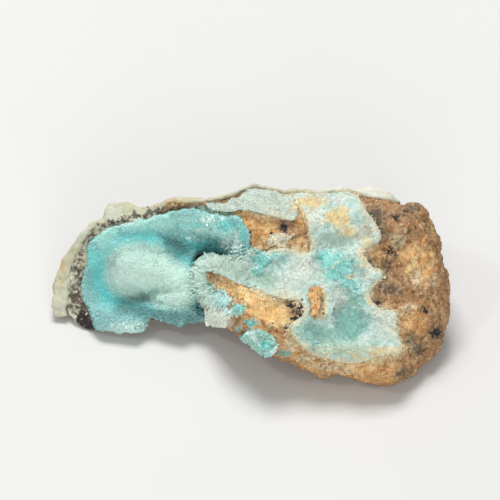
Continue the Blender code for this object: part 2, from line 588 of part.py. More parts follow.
def roughened(points, triangles):
    """The back with its steep sides broken into crags; its foot and its rim stay as they are."""
    out = points.copy()
    free = ease(distance(RIM_LOOP, points[:, 0], points[:, 1]) / 0.8) * ease(height(points) / 4)
    free[: len(RIM_LOOP)] = 0
    crags = 1.3 * cleaved(points, 9.0) + 0.7 * cleaved(points, 4.5)
    out += normals(points, triangles) * (free * crags)[:, None]
    return out


def to_object(name, mesh_builder, material, lowest=0.0):
    """Turns a mesh drawn on the face into an object that stands on the table, in metres."""
    foot = [v for v in mesh_builder.verts if height(np.array(v.co)) < 0.01]
    for vertex in mesh_builder.verts:
        vertex.co += WARP * drift(vertex.co, 13) + 0.3 * WARP * drift(vertex.co, 5.5)
    upright = Matrix(((1, 0, 0, 0), (0, 0, -1, 0), (0, 1, 0, 0), (0, 0, 0, 1)))
    lean_back = Matrix.Rotation(-LEAN, 4, "X")
    mesh_builder.transform(Matrix.Translation(Vector(FACE_ORIGIN)) @ lean_back @ upright)
    for vertex in foot:
        vertex.co.z = 0
    for vertex in mesh_builder.verts:
        vertex.co.z = max(vertex.co.z, lowest)
    mesh_builder.transform(Matrix.Scale(0.001, 4))
    bmesh.ops.triangulate(mesh_builder, faces=mesh_builder.faces)
    bmesh.ops.recalc_face_normals(mesh_builder, faces=mesh_builder.faces)
    mesh = bpy.data.meshes.new(name)
    mesh_builder.to_mesh(mesh)
    mesh_builder.free()
    mesh.materials.append(material)
    bpy.context.scene.collection.objects.link(bpy.data.objects.new(name, mesh))


def stone(name, front, front_triangles, back, back_triangles, material):
    """A closed stone from a front and a back sheet that share the rim's points."""
    made = bmesh.new()
    front_verts = [made.verts.new(p) for p in front]
    rim_count = len(RIM_LOOP)
    back_verts = front_verts[:rim_count] + [made.verts.new(p) for p in back[rim_count:]]
    for triangle in front_triangles:
        made.faces.new([front_verts[v] for v in triangle])
    for triangle in back_triangles:
        made.faces.new([back_verts[v] for v in triangle])
    to_object(name, made, material)


def crust(name, base, growth, triangles, thickness, material, lift=None, point=0.0, lowest=0.0):
    """A closed crust over part of a sheet. Its hidden face follows the sheet at an even gap; its
    shown face has four times the triangles, so it can carry finer forms than the rock does.
    Returns the shown face."""
    small, parents = quartered(triangles, len(base))
    pairs = np.array(list(parents))
    full_base = np.vstack([base, base[pairs].mean(1)])
    full_growth = np.vstack([growth, growth[pairs].mean(1)])
    full_growth /= np.linalg.norm(full_growth, axis=1)[:, None]
    used = np.unique(small)
    shown = full_base.copy()
    amount = GAP + thickness(full_base[used])
    shown[used] += full_growth[used] * amount[:, None]
    if lift is not None:
        shown[used, 2] += lift(full_base[used])
    directed = {(t[i], t[(i + 1) % 3]) for t in triangles.tolist() for i in range(3)}
    border = [(i, j) for i, j in sorted(directed) if (j, i) not in directed]
    edge_points = {i for i, _ in border}
    for v in used:
        if v < len(base) and v not in edge_points:
            size = point * (1 + 0.8 * noise.noise(full_base[v] * 0.9))
            shown[v] += full_growth[v] * size
    made = bmesh.new()
    low = {v: made.verts.new(base[v] + growth[v] * GAP) for v in np.unique(triangles)}
    high = {v: made.verts.new(shown[v]) for v in used}
    for triangle in triangles:
        made.faces.new([low[v] for v in triangle[::-1]])
    for triangle in small:
        made.faces.new([high[v] for v in triangle])
    columns = {}
    for v in edge_points:
        rows = max(1, round((high[v].co - low[v].co).length / WALL_ROW))
        between = [made.verts.new(low[v].co.lerp(high[v].co, n / rows)) for n in range(1, rows)]
        columns[v] = [low[v], *between, high[v]]
    for i, j in border:
        fill_wall(made, columns[i], columns[j], high[parents[min(i, j), max(i, j)]])
    to_object(name, made, material, lowest)
    return shown, small


def fill_wall(made, left, right, top_middle):
    """Faces between two columns of points, whose tops have one more point between them."""
    i = j = 0
    while i < len(left) - 1 or j < len(right) - 1:
        if j == len(right) - 1 or (i < len(left) - 1 and (i + 1) / len(left) <= (j + 1) / len(right)):
            corners = [left[i], right[j], left[i + 1]]
            i += 1
        else:
            corners = [left[i], right[j], right[j + 1]]
            j += 1
        if i == len(left) - 1 and j == len(right) - 1:
            after_right = corners.index(right[j]) + 1
            corners.insert(after_right, top_middle)
        made.faces.new(corners)


def paint(name):
    colour, roughness = MATERIALS[name]
    material = bpy.data.materials.new(name)
    material.use_nodes = True
    shader = material.node_tree.nodes["Principled BSDF"]
    shader.inputs["Base Color"].default_value = (*colour, 1)
    shader.inputs["Roughness"].default_value = roughness
    return material


# --- the pieces --------------------------------------------------------------------------------------------------------


def centre_over_origin():
    """Puts the middle of the whole stone's footprint at the origin."""
    corners = np.array([v.co for o in bpy.data.objects for v in o.data.vertices])
    middle = (corners.min(0) + corners.max(0)) / 2
    shift = Matrix.Translation((-middle[0], -middle[1], 0))
    for piece in bpy.data.objects:
        piece.data.transform(shift)


def make_specimen():
    for old in list(bpy.data.objects):
        bpy.data.objects.remove(old)
    limonite, turquoise = paint("limonite"), paint("turquoise_druse")
    fibrous, botryoidal = paint("fibrous_hemimorphite"), paint("botryoidal_crust")
    rim_count = len(RIM_LOOP)

    loops = [DRUSE_LOOP, VEIN_LOOP, SLAB_LOOP, LOWER_LOOP]
    plan, front_triangles = face_map(loops, [np.full(rim_count, FRONT_RING)], FRONT_STEP)
    front = np.column_stack([plan, rock_front(plan[:, 0], plan[:, 1])])
    front[:rim_count, 2] = RIM_LOOP[:, 2]
    rounding = back_rounding(RIM_LOOP[:, 0])
    plan, back_triangles = face_map([CRUST_LOOP], [share * rounding for share in BACK_RINGS], BACK_STEP)
    back = np.column_stack([plan, rock_back(plan[:, 0], plan[:, 1])])
    back[:rim_count, 2] = RIM_LOOP[:, 2]
    back_triangles = back_triangles[:, ::-1]
    back = roughened(back, back_triangles)
    stone("limonite_matrix", front, front_triangles, back, back_triangles, limonite)

    straight = np.tile((0.0, 0.0, 1.0), (len(front), 1))
    lean_in = 0.8 * ease(distance(DRUSE_LOOP, front[:, 0], front[:, 1]) / 2.5)[:, None]
    inward = lean_in * normals(front, front_triangles) + (1 - lean_in) * straight
    inward /= np.linalg.norm(inward, axis=1)[:, None]
    crust("turquoise_druse", front, inward, one_patch(within_loop(DRUSE_LOOP, front, front_triangles)),
          druse_thickness, turquoise, lift=mound_height, point=DRUSE_POINT)
    vein = one_patch(within_loop(VEIN_LOOP, front, front_triangles))
    face, small = crust("fibrous_vein", front, straight, vein, vein_thickness, fibrous)
    slab = one_patch(within_loop(SLAB_LOOP, front, front_triangles))
    crust("upper_vein_slab", front, straight, slab, skin_thickness, fibrous)
    patch = one_patch(within_loop(LOWER_LOOP, front, front_triangles))
    crust("lower_druse", front, straight, patch, skin_thickness, turquoise, point=0.4)
    straight = np.tile((0.0, 0.0, 1.0), (len(face), 1))
    flake = one_patch(within_loop(CHIP_LOOP, face, small))
    crust("limonite_chip", face, straight, flake, chip_thickness, limonite)

    outside = within_loop(CRUST_LOOP, back, back_triangles)
    outside = outside[height(back)[outside].min(1) > CRUST_CLEARANCE]
    crust("botryoidal_crust", back, normals(back, back_triangles), one_patch(outside),
          back_crust_thickness, botryoidal, lowest=CRUST_LOWEST)
    centre_over_origin()


make_specimen()
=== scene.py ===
# %% [markdown]
# # Blue hemimorphite on limonite
# A hand specimen from an oxidised zinc deposit. Brown limonite, an earthy iron oxide, was split open,
# and its broken face shows a long hollow lined with turquoise hemimorphite points, round heads of
# radiating needles standing in it, and a pale fibrous vein filling the cracks to the right. A waxy,
# pale crust covers the outside of the stone.
#
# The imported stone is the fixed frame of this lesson. Each of its pieces gets a finer skin here: the
# same form, with the grain, fibres and crystals that are too small for the solid itself.

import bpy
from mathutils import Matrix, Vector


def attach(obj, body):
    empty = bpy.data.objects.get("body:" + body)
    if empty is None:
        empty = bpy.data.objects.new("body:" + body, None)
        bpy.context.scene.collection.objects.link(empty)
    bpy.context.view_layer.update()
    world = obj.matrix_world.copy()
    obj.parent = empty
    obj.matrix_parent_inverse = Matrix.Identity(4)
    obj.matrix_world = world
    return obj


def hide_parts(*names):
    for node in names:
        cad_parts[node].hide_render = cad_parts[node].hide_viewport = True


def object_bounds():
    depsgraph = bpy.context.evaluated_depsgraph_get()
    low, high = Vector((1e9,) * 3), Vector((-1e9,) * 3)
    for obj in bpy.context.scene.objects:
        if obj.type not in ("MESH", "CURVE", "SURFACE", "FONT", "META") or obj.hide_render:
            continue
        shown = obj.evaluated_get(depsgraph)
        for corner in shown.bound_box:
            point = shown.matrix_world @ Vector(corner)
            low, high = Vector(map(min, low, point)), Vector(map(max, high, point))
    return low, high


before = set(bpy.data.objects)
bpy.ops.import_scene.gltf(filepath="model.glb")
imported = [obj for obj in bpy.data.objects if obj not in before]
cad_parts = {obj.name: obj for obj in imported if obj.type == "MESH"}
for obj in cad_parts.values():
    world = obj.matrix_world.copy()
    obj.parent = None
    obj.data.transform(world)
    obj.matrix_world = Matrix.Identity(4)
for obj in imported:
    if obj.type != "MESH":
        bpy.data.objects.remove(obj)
packed_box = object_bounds()
print("pieces in the packed stone:", sorted(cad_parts))

# %% [markdown]
# NumPy handles all the points of a mesh at once, which is much quicker than a loop over them.
# Blender's own bmesh mends a mesh, and its kdtree finds the nearest of many points.

# %% The tools of this lesson
import itertools
import math

import bmesh
import bpy
import numpy as np
from mathutils import Matrix, Vector, kdtree

MM = 0.001  # the frame is in metres, and this lesson works in millimetres
scene = bpy.context.scene
print("one millimetre is", MM, "of the scene's units")

# %% [markdown]
# ## The broken face as a drawing board
# The stone lies on a flat underside, and its broken face leans back. Every vein, stain and crystal
# is easier to place on that face than in the room, so a point is also read as a (along the
# specimen), b (up the face) and c (out of the face).

# %% Face coordinates
LEAN = math.radians(42)
FACE_MIDDLE = np.array([0.110, -3.823, 14.7])
ALONG = np.array([1.0, 0.0, 0.0])
UP_FACE = np.array([0.0, math.sin(LEAN), math.cos(LEAN)])
OUT_OF_FACE = np.array([0.0, -math.cos(LEAN), math.sin(LEAN)])


def on_face(points):
    """a, b and c of points in the room, all in mm."""
    away = points - FACE_MIDDLE
    return away @ ALONG, away @ UP_FACE, away @ OUT_OF_FACE


def ease(x):
    """0 below 0, 1 above 1, and a soft S between."""
    x = np.clip(x, 0.0, 1.0)
    return x * x * (3.0 - 2.0 * x)


def looking_out(normals, start=0.0, width=0.3):
    """0 where a skin turns away from whoever faces the broken face, 1 where it looks at them."""
    return ease((normals @ OUT_OF_FACE - start) / width)


print("the face leans back", round(math.degrees(LEAN)), "degrees")

# %% [markdown]
# ## Zones
# A zone is drawn from ovals and from bands along a line, and is kept as a depth: how many
# millimetres a point lies inside its edge, negative outside. A depth blends well between the
# points of a mesh, and a shader can turn it into a ragged, grainy edge much finer than the mesh.

# %% Ovals and bands
OUTSIDE = -9.0  # mm, the depth before any oval is looked at
DEPTH_LIMIT = 4.0  # mm, the most that a depth says either way
FAR = 99.0  # mm, farther than anything on the face


def oval_depth(points, ovals):
    """Depth inside the nearest of some ovals: a, b, half length, half height, and a turn if any."""
    a, b, _ = on_face(points)
    deepest = np.full(len(a), OUTSIDE)
    for middle_a, middle_b, half_a, half_b, *turn in ovals:
        angle = math.radians(turn[0] if turn else 0)
        u = (a - middle_a) * math.cos(angle) + (b - middle_b) * math.sin(angle)
        v = (b - middle_b) * math.cos(angle) - (a - middle_a) * math.sin(angle)
        reach = np.hypot(u / half_a, v / half_b)
        deepest = np.maximum(deepest, (1.0 - reach) * min(half_a, half_b))
    return np.clip(deepest, -DEPTH_LIMIT, DEPTH_LIMIT)


def share_inside(points, ovals, width=1.0, more=0.0):
    """1 inside some ovals and 0 outside, changing over a width in mm. More makes them larger."""
    return ease(oval_depth(points, ovals) / width + more)


def line_distance(points, line):
    """Distance to a line of straight runs."""
    a, b, _ = on_face(points)
    nearest = np.full(len(a), FAR)
    for (a0, b0), (a1, b1) in zip(line[:-1], line[1:]):
        run_a, run_b = a1 - a0, b1 - b0
        share = ((a - a0) * run_a + (b - b0) * run_b) / (run_a**2 + run_b**2)
        share = np.clip(share, 0.0, 1.0)
        nearest = np.minimum(nearest, np.hypot(a - a0 - share * run_a, b - b0 - share * run_b))
    return nearest


def band_depth(points, lines, width):
    """Depth inside the nearest of some bands of one width along lines."""
    nearest = np.min([line_distance(points, line) for line in lines], axis=0)
    return np.clip(width / 2 - nearest, -DEPTH_LIMIT, DEPTH_LIMIT)


test_spot = FACE_MIDDLE[None]
print("depth in a 2 mm ball at the face's middle:", oval_depth(test_spot, [(0.0, 0.0, 1.0, 1.0)])[0], "mm")

# %% [markdown]
# ## Repeatable roughness
# Natural surfaces need noise, and it has to be the same on every run. Each cell of a lattice gets
# a number worked out from its own place, so nothing is drawn at random here. `swells` blends those
# numbers into smooth noise, and `grains` finds the nearest of one scattered point per cell, which
# gives packed grains and the cracks between them.

# %% Swells and grains
def dice(cells, seed):
    """A number from 0 to 1 for each cell of a lattice, always the same for the same cell."""
    n = cells[:, 0] * 73856093 ^ cells[:, 1] * 19349663 ^ cells[:, 2] * 83492791 ^ seed * 50331653
    n = (n ^ (n >> 13)) * 1274126177
    n = n ^ (n >> 16)
    return (n & 0xFFFFF) / 0xFFFFF


def swells(points, size, seed):
    """Smooth noise from -1 to 1 with swells of about the given size."""
    place = points / size
    cell = np.floor(place).astype(np.int64)
    share = ease(place - cell)
    total = np.zeros(len(points))
    for corner in itertools.product((0, 1), repeat=3):
        weight = np.prod(np.where(corner, share, 1.0 - share), axis=1)
        total += weight * dice(cell + corner, seed)
    return total * 2.0 - 1.0


def layered(points, layers):
    """Swells laid over each other. Each layer is a height, a size and a seed."""
    return sum(height * swells(points, size, seed) for height, size, seed in layers)


def grains(points, size, seed):
    """For each point, the distances to its grain's middle and to the next one, and the grain's number."""
    place = points / size
    home = np.floor(place).astype(np.int64)
    near = np.full(len(points), 9.0)
    second = near.copy()
    number = np.zeros(len(points))
    for step in itertools.product((-1, 0, 1), repeat=3):
        cell = home + step
        middle = cell + np.stack([dice(cell, seed + k) for k in range(3)], axis=1)
        away = np.linalg.norm(middle - place, axis=1)
        second = np.where(away < near, near, np.minimum(second, away))
        number = np.where(away < near, dice(cell, seed + 3), number)
        near = np.minimum(near, away)
    return near * size, second * size, number


def wandering(points, size, reach, seed):
    """The points, each pushed about by up to reach, so that lattices don't show."""
    push = np.stack([swells(points, size, seed + k) for k in range(3)], axis=1)
    return points + push * reach


print("swells at the face's middle:", round(float(swells(test_spot, 2.0, 1)[0]), 3))

# %% [markdown]
# ## A finer skin for each solid
# The solids have facets about 2 mm wide. Blender's voxel Remesh lays an even skin of small faces
# over such a solid, whatever its own faces were like, and a Smooth modifier takes the facets away.
# The new skin has enough points to carry real relief.

# %% Remesh a solid
def points_of(mesh):
    """The points of a mesh as rows of x, y, z."""
    flat = np.empty(len(mesh.vertices) * 3)
    mesh.vertices.foreach_get("co", flat)
    return flat.reshape(-1, 3)


def normals_of(mesh):
    """The direction that each point faces."""
    flat = np.empty(len(mesh.vertices) * 3)
    mesh.vertex_normals.foreach_get("vector", flat)
    return flat.reshape(-1, 3)


def set_points(mesh, points):
    """Moves the points of a mesh."""
    mesh.vertices.foreach_set("co", points.ravel())
    mesh.update()


def finer_skin(node, step, rounds, thicker=0.0):
    """The node's solid in mm under faces step mm wide, smoothed for some rounds.

    A thin crust is first made thicker by a little, so that the remesh doesn't tear it.
    """
    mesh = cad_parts[node].data.copy()
    mesh.transform(Matrix.Scale(1 / MM, 4))
    whole = bmesh.new()
    whole.from_mesh(mesh)
    bmesh.ops.remove_doubles(whole, verts=whole.verts, dist=0.001)
    whole.normal_update()
    for point in whole.verts:
        point.co += point.normal * thicker
    whole.to_mesh(mesh)
    whole.free()
    work = bpy.data.objects.new("work", mesh)
    scene.collection.objects.link(work)
    skin = work.modifiers.new("skin", "REMESH")
    skin.mode = "VOXEL"
    skin.voxel_size = step
    soften = work.modifiers.new("soften", "SMOOTH")
    soften.factor = 0.5
    soften.iterations = rounds
    seen = work.evaluated_get(bpy.context.evaluated_depsgraph_get())
    finer = bpy.data.meshes.new_from_object(seen)
    bpy.data.objects.remove(work)
    print(f"{node}: {len(finer.vertices)} points after the remesh")
    return finer

# %% [markdown]
# A finished skin becomes a piece: it is shaded, noted with its zones, scaled back to metres, and the
# imported nodes that it stands for are hidden. Its points are kept inside the imported stone's own box and
# above the table.

# %% From skin to piece
BOX_LOW = np.array(packed_box[0]) / MM
BOX_HIGH = np.array(packed_box[1]) / MM
BOX_MARGIN = 0.01  # mm


def kept_inside(points):
    """The points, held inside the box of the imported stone."""
    return np.clip(points, BOX_LOW + BOX_MARGIN, BOX_HIGH - BOX_MARGIN)


def raised(mesh, lift):
    """Moves the points of a skin out by lift, a number or one for each point. Returns the points."""
    points = kept_inside(points_of(mesh) + normals_of(mesh) * np.reshape(lift, (-1, 1)))
    set_points(mesh, points)
    return points


def note(mesh, name, values):
    """Writes one number for each point of the mesh, for the materials to read."""
    attribute = mesh.attributes.new(name, "FLOAT", "POINT")
    attribute.data.foreach_set("value", np.asarray(values, np.float32))


def note_zones(mesh, points, zones, hidden=0.0):
    """Notes how deep each point lies in each zone of ovals."""
    for name, ovals in zones.items():
        note(mesh, name, oval_depth(points, ovals) + hidden)


def piece(name, mesh, material, nodes=(), smooth=True):
    """A piece of the specimen in the room: finished mesh, material and the nodes it replaces."""
    mesh.name = name
    mesh.transform(Matrix.Scale(MM, 4))
    mesh.polygons.foreach_set("use_smooth", [smooth] * len(mesh.polygons))
    mesh.materials.clear()
    mesh.materials.append(material)
    made = bpy.data.objects.new(name, mesh)
    scene.collection.objects.link(made)
    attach(made, "root")
    if nodes:
        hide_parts(*nodes)
    triangles = sum(len(face.vertices) - 2 for face in mesh.polygons)
    print(f"{name}: {triangles} triangles")


print("room for the pieces:", BOX_LOW.round(1), "to", BOX_HIGH.round(1), "mm")

# %% [markdown]
# ## Shader groups
# A ragged edge for a zone, the silky streaks of radiating fibres and scattered specks are each used
# by more than one material, and the grain of earthy rock three times in one, so each is a node
# group. A small helper keeps the wiring readable.

# %% A helper for wiring nodes
class Wiring:
    """Adds nodes to a tree, one call for each node, and links what it is given."""

    def __init__(self, tree):
        self.tree = tree

    def add(self, kind, inputs=None, **settings):
        """A node of the given kind. Inputs may be numbers, colours or other nodes' sockets."""
        node = self.tree.nodes.new(kind)
        for key, value in settings.items():
            setattr(node, key, value)
        for key, value in (inputs or {}).items():
            self.put(node.inputs[key], value)
        return node

    def put(self, socket, value):
        """Links a socket to another, or gives it a plain value."""
        if isinstance(value, bpy.types.NodeSocket):
            self.tree.links.new(value, socket)
        elif isinstance(value, tuple) and len(value) == 3 and socket.type == "RGBA":
            socket.default_value = (*value, 1.0)
        else:
            socket.default_value = value

    def math(self, operation, first, second=0.0, clamp=False):
        """One step of arithmetic."""
        node = self.add("ShaderNodeMath", {0: first, 1: second}, operation=operation)
        node.use_clamp = clamp
        return node.outputs[0]

    def times(self, first, second):
        """One number times another."""
        return self.math("MULTIPLY", first, second)

    def plus(self, first, second):
        """One number plus another."""
        return self.math("ADD", first, second)

    def minus(self, first, second):
        """One number less another."""
        return self.math("SUBTRACT", first, second)

    def scaled(self, vector, factor):
        """A vector times a number."""
        return self.add("ShaderNodeVectorMath", {0: vector, "Scale": factor}, operation="SCALE").outputs[0]

    def moved(self, vector, push):
        """A vector plus another."""
        return self.add("ShaderNodeVectorMath", {0: vector, 1: push}, operation="ADD").outputs[0]

    def mix(self, share, first, second, blend="MIX"):
        """Two colours mixed by a share from 0 to 1."""
        node = self.tree.nodes.new("ShaderNodeMix")
        node.data_type = "RGBA"
        node.blend_type = blend
        self.put(node.inputs[0], share)
        self.put(node.inputs[6], first)
        self.put(node.inputs[7], second)
        return node.outputs[2]

    def dimmed(self, colour, number):
        """A colour times a number."""
        grey = self.add("ShaderNodeCombineColor", {0: number, 1: number, 2: number}).outputs[0]
        return self.mix(1.0, colour, grey, "MULTIPLY")

    def ramp(self, value, low, high, to_low=0.0, to_high=1.0):
        """Carries the range low..high over to to_low..to_high, with soft ends."""
        settings = {"Value": value, "From Min": low, "From Max": high, "To Min": to_low, "To Max": to_high}
        node = self.add("ShaderNodeMapRange", settings, interpolation_type="SMOOTHSTEP")
        return node.outputs["Result"]

    def noise(self, vector, scale, detail=2.0, roughness=0.5):
        """Smooth noise from 0 to 1."""
        settings = {"Vector": vector, "Scale": scale, "Detail": detail, "Roughness": roughness}
        return self.add("ShaderNodeTexNoise", settings).outputs["Fac"]

    def number(self, name):
        """A number noted on the mesh."""
        return self.add("ShaderNodeAttribute", attribute_name=name).outputs["Fac"]

    def place(self):
        """The point's place in mm."""
        return self.scaled(self.add("ShaderNodeTexCoord").outputs["Object"], 1 / MM)


print("wiring helper ready")

# %% [markdown]
# A group is declared by its sockets: what a material may tell it, and what it gives back. Only
# masks, colours, heights and other numbers pass through them, so each material keeps its own shader.

# %% Start a group
def shader_group(name, inputs, outputs):
    """An empty node group with named sockets, its wiring, and its input and output nodes."""
    tree = bpy.data.node_groups.new(name, "ShaderNodeTree")
    kinds = {"number": "NodeSocketFloat", "colour": "NodeSocketColor", "vector": "NodeSocketVector"}
    for socket_name, kind, start in inputs:
        socket = tree.interface.new_socket(name=socket_name, in_out="INPUT", socket_type=kinds[kind])
        if start is not None:
            socket.default_value = (*start, 1.0) if kind == "colour" else start
    for socket_name, kind in outputs:
        tree.interface.new_socket(name=socket_name, in_out="OUTPUT", socket_type=kinds[kind])
    entry = tree.nodes.new("NodeGroupInput").outputs
    leave = tree.nodes.new("NodeGroupOutput").inputs
    return tree, Wiring(tree), entry, leave


print("groups so far:", len(bpy.data.node_groups))

# %% [markdown]
# The ragged edge adds noise to a zone's depth before asking whether the point is inside. Coarse
# noise makes bays and tongues, and fine noise scatters crumbs over the margin. A thin zone with
# much scatter becomes a swarm of specks.

# %% Group: ragged zone
ragged_zone, wire, entry, leave = shader_group(
    "ragged zone",
    [("Depth", "number", 0.0), ("Raggedness", "number", 0.6), ("Softness", "number", 0.25),
     ("Scatter", "number", 0.6)],
    [("Mask", "number")],
)
spot = wire.place()
coarse = wire.minus(wire.noise(spot, 0.45, 3.0, 0.6), 0.5)
fine = wire.minus(wire.noise(spot, 1.15, 3.0, 0.62), 0.5)
bays = wire.times(wire.times(coarse, 5.0), entry["Raggedness"])
crumbs = wire.times(wire.times(fine, 5.0), entry["Scatter"])
pushed = wire.plus(wire.plus(bays, crumbs), entry["Depth"])
edge = wire.math("DIVIDE", pushed, entry["Softness"])
wire.put(leave["Mask"], wire.ramp(edge, -1.0, 1.0))
print("ragged zone:", len(ragged_zone.nodes), "nodes")

# %% [markdown]
# Limonite is a crumbly mass of iron-oxide grains, so its group mixes three colours by noise at three sizes,
# and gives a height for the bump: packed grains with fine sand between them. Where the sand is low, in the
# bump's hollows, it turns to the dark colour, partly the rock's own dark grains and partly painted shade;
# where it is high it is lightened as painted glints.

# %% Group: earthy grain
earthy_grain, wire, entry, leave = shader_group(
    "earthy grain",
    [("Light", "colour", (0.5, 0.3, 0.13)), ("Middle", "colour", (0.4, 0.22, 0.09)),
     ("Dark", "colour", (0.1, 0.06, 0.03)), ("Grain", "number", 1.0)],
    [("Color", "colour"), ("Height", "number"), ("Roughness", "number")],
)
spot = wire.place()
broad = wire.ramp(wire.noise(spot, 0.22, 3.0, 0.6), 0.4, 0.6)
patch = wire.ramp(wire.noise(spot, 0.55, 3.0, 0.6), 0.42, 0.6)
sand = wire.noise(spot, wire.times(entry["Grain"], 0.85), 5.0, 0.66)
packed = wire.add("ShaderNodeTexVoronoi", {"Vector": spot, "Scale": wire.times(entry["Grain"], 1.3)})
shade = wire.mix(broad, entry["Middle"], entry["Light"])
warmer = wire.mix(1.0, entry["Middle"], (1.15, 0.92, 0.75), "MULTIPLY")
shade = wire.mix(wire.times(patch, 0.8), shade, warmer)
# painted shade, over the rock's own dark grains: the sand is darkened where the bump has its hollows
hollow_shade = wire.ramp(sand, 0.48, 0.34)
shade = wire.mix(wire.times(hollow_shade, 0.85), shade, entry["Dark"])
# painted glints: the sand is lightened where the bump is raised
painted_glints = wire.ramp(sand, 0.54, 0.66)
paler = wire.mix(0.5, entry["Light"], (0.8, 0.7, 0.5))
wire.put(leave["Color"], wire.mix(wire.times(painted_glints, 0.65), shade, paler))
wire.put(leave["Height"], wire.minus(sand, wire.times(packed.outputs["Distance"], 0.35)))
wire.put(leave["Roughness"], wire.ramp(sand, 0.3, 0.7, 0.95, 0.75))
print("earthy grain:", len(earthy_grain.nodes), "nodes")

# %% [markdown]
# Hemimorphite grows as fans of fibres. Each point of a fibrous piece is noted with the direction
# from the middle of its fan and its distance from it. Noise that changes quickly around the fan but
# slowly outward turns into streaks which run out from the middle, at any zoom.

# %% Group: radiating fibres
radiating_fibres, wire, entry, leave = shader_group(
    "radiating fibres",
    [("Direction", "vector", None), ("Reach", "number", 0.0)],
    [("Streaks", "number"), ("Height", "number")],
)
outward = wire.add("ShaderNodeCombineXYZ", {"X": wire.times(entry["Reach"], 0.35)}).outputs[0]
spot = wire.moved(entry["Direction"], outward)
broad = wire.noise(spot, 7.0, 2.0, 0.6)
fine = wire.noise(spot, 26.0, 2.0, 0.7)
both = wire.plus(wire.times(broad, 0.55), wire.times(fine, 0.45))
wire.put(leave["Streaks"], wire.ramp(both, 0.34, 0.66))
wire.put(leave["Height"], both)
print("radiating fibres:", len(radiating_fibres.nodes), "nodes")

# %% [markdown]
# Manganese oxide leaves tiny black specks, alone and in swarms. A speck is the core of a Voronoi
# cell, and only some cells have one.

# %% Group: black specks
black_specks, wire, entry, leave = shader_group(
    "black specks",
    [("Spacing", "number", 1.4), ("Size", "number", 0.3), ("Share", "number", 0.2)],
    [("Mask", "number")],
)
spot = wire.place()
stirred = wire.add("ShaderNodeTexNoise", {"Vector": spot, "Scale": 3.0, "Detail": 2.0})
stirred_spot = wire.moved(spot, wire.scaled(stirred.outputs["Color"], 0.5))
cell_scale = wire.math("DIVIDE", 1.0, entry["Spacing"])
cells = wire.add("ShaderNodeTexVoronoi", {"Vector": stirred_spot, "Scale": cell_scale})
lot = wire.add("ShaderNodeSeparateColor", {0: cells.outputs["Color"]}).outputs[0]
chosen = wire.math("LESS_THAN", lot, entry["Share"])
core = wire.math("DIVIDE", wire.minus(entry["Size"], cells.outputs["Distance"]), 0.12)
wire.put(leave["Mask"], wire.times(chosen, wire.math("MULTIPLY", core, 1.0, clamp=True)))
print("black specks:", len(black_specks.nodes), "nodes")

# %% [markdown]
# ## Materials
# Every material is one Principled shader, and all but the clear crystal's have a bump. What is the same all
# over a surface, such as the refractive index or how much light passes through, is set straight on the
# shader.

# %% Start a material
HEMIMORPHITE_IOR = 1.61


def new_material(name, **values):
    """A material's wiring and its Principled shader, with the plain values set on the shader."""
    material = bpy.data.materials.new(name)
    material.use_nodes = True
    wire = Wiring(material.node_tree)
    shader = material.node_tree.nodes["Principled BSDF"]
    for key, value in values.items():
        wire.put(shader.inputs[key.replace("_", " ")], value)
    return material, wire, shader


def add_group(wire, tree, **inputs):
    """Places a group in a material."""
    node = wire.add("ShaderNodeGroup", node_tree=tree)
    for key, value in inputs.items():
        wire.put(node.inputs[key], value)
    return node.outputs


def zone_mask(wire, name, raggedness=0.6, softness=0.25, scatter=0.6):
    """The ragged mask of a zone that is noted on the mesh."""
    return add_group(wire, ragged_zone, Depth=wire.number(name), Raggedness=raggedness,
                     Softness=softness, Scatter=scatter)["Mask"]


def finish_material(wire, shader, colour, roughness, height, distance, strength=1.0):
    """Feeds the shader. The bump's height is in mm times distance."""
    wire.put(shader.inputs["Base Color"], colour)
    wire.put(shader.inputs["Roughness"], roughness)
    bump = wire.add("ShaderNodeBump", {"Height": height, "Distance": distance * MM, "Strength": strength})
    wire.put(shader.inputs["Normal"], bump.outputs[0])


print("refractive index of hemimorphite:", HEMIMORPHITE_IOR)

# %% [markdown]
# ### Limonite
# The brown rock is ochre where it is fresh and loose, such as on the ridge and in the top patch,
# and darker where it is weathered. Black manganese oxide lines the rim of the hollow and sits in
# lumps, and pale scraps of the crust cling to it.

# %% Limonite colours
GRAIN_COLOURS = [  # light, middle and dark grains, and how fine they are
    ((0.5, 0.315, 0.152), (0.355, 0.212, 0.102), (0.14, 0.08, 0.045), 1.0),  # brown
    ((0.76, 0.49, 0.22), (0.57, 0.33, 0.13), (0.34, 0.17, 0.07), 1.2),  # ochre
    ((0.9, 0.7, 0.36), (0.74, 0.53, 0.24), (0.4, 0.25, 0.1), 1.3),  # yellow
]
# the dark brown of the painted shade in pits and cracks
PIT_SHADE = GRAIN_COLOURS[0][2]
CRUMB_DARK = (0.13, 0.08, 0.05)
CRUMB_PALE = (0.84, 0.7, 0.46)
DUSK = (0.26, 0.2, 0.13)
SOOT_DARK = (0.04, 0.035, 0.03)
SOOT_LIGHT = (0.17, 0.13, 0.09)
MANGANESE = (0.035, 0.03, 0.03)
END_DARK = (0.56, 0.56, 0.42)
END_LIGHT = (0.62, 0.66, 0.56)
PALE_SCRAP = (0.72, 0.59, 0.38)
WHITE_SCRAP = (0.73, 0.77, 0.67)
TEAL_SCRAP = (0.22, 0.52, 0.46)
STAINED_EDGE = (0.74, 0.6, 0.34)
print("kinds of limonite grain:", len(GRAIN_COLOURS))

# %% [markdown]
# The rock is coloured in the order in which its parts came: first the ground of grains, then the
# scraps that cling to it, and the manganese over both.

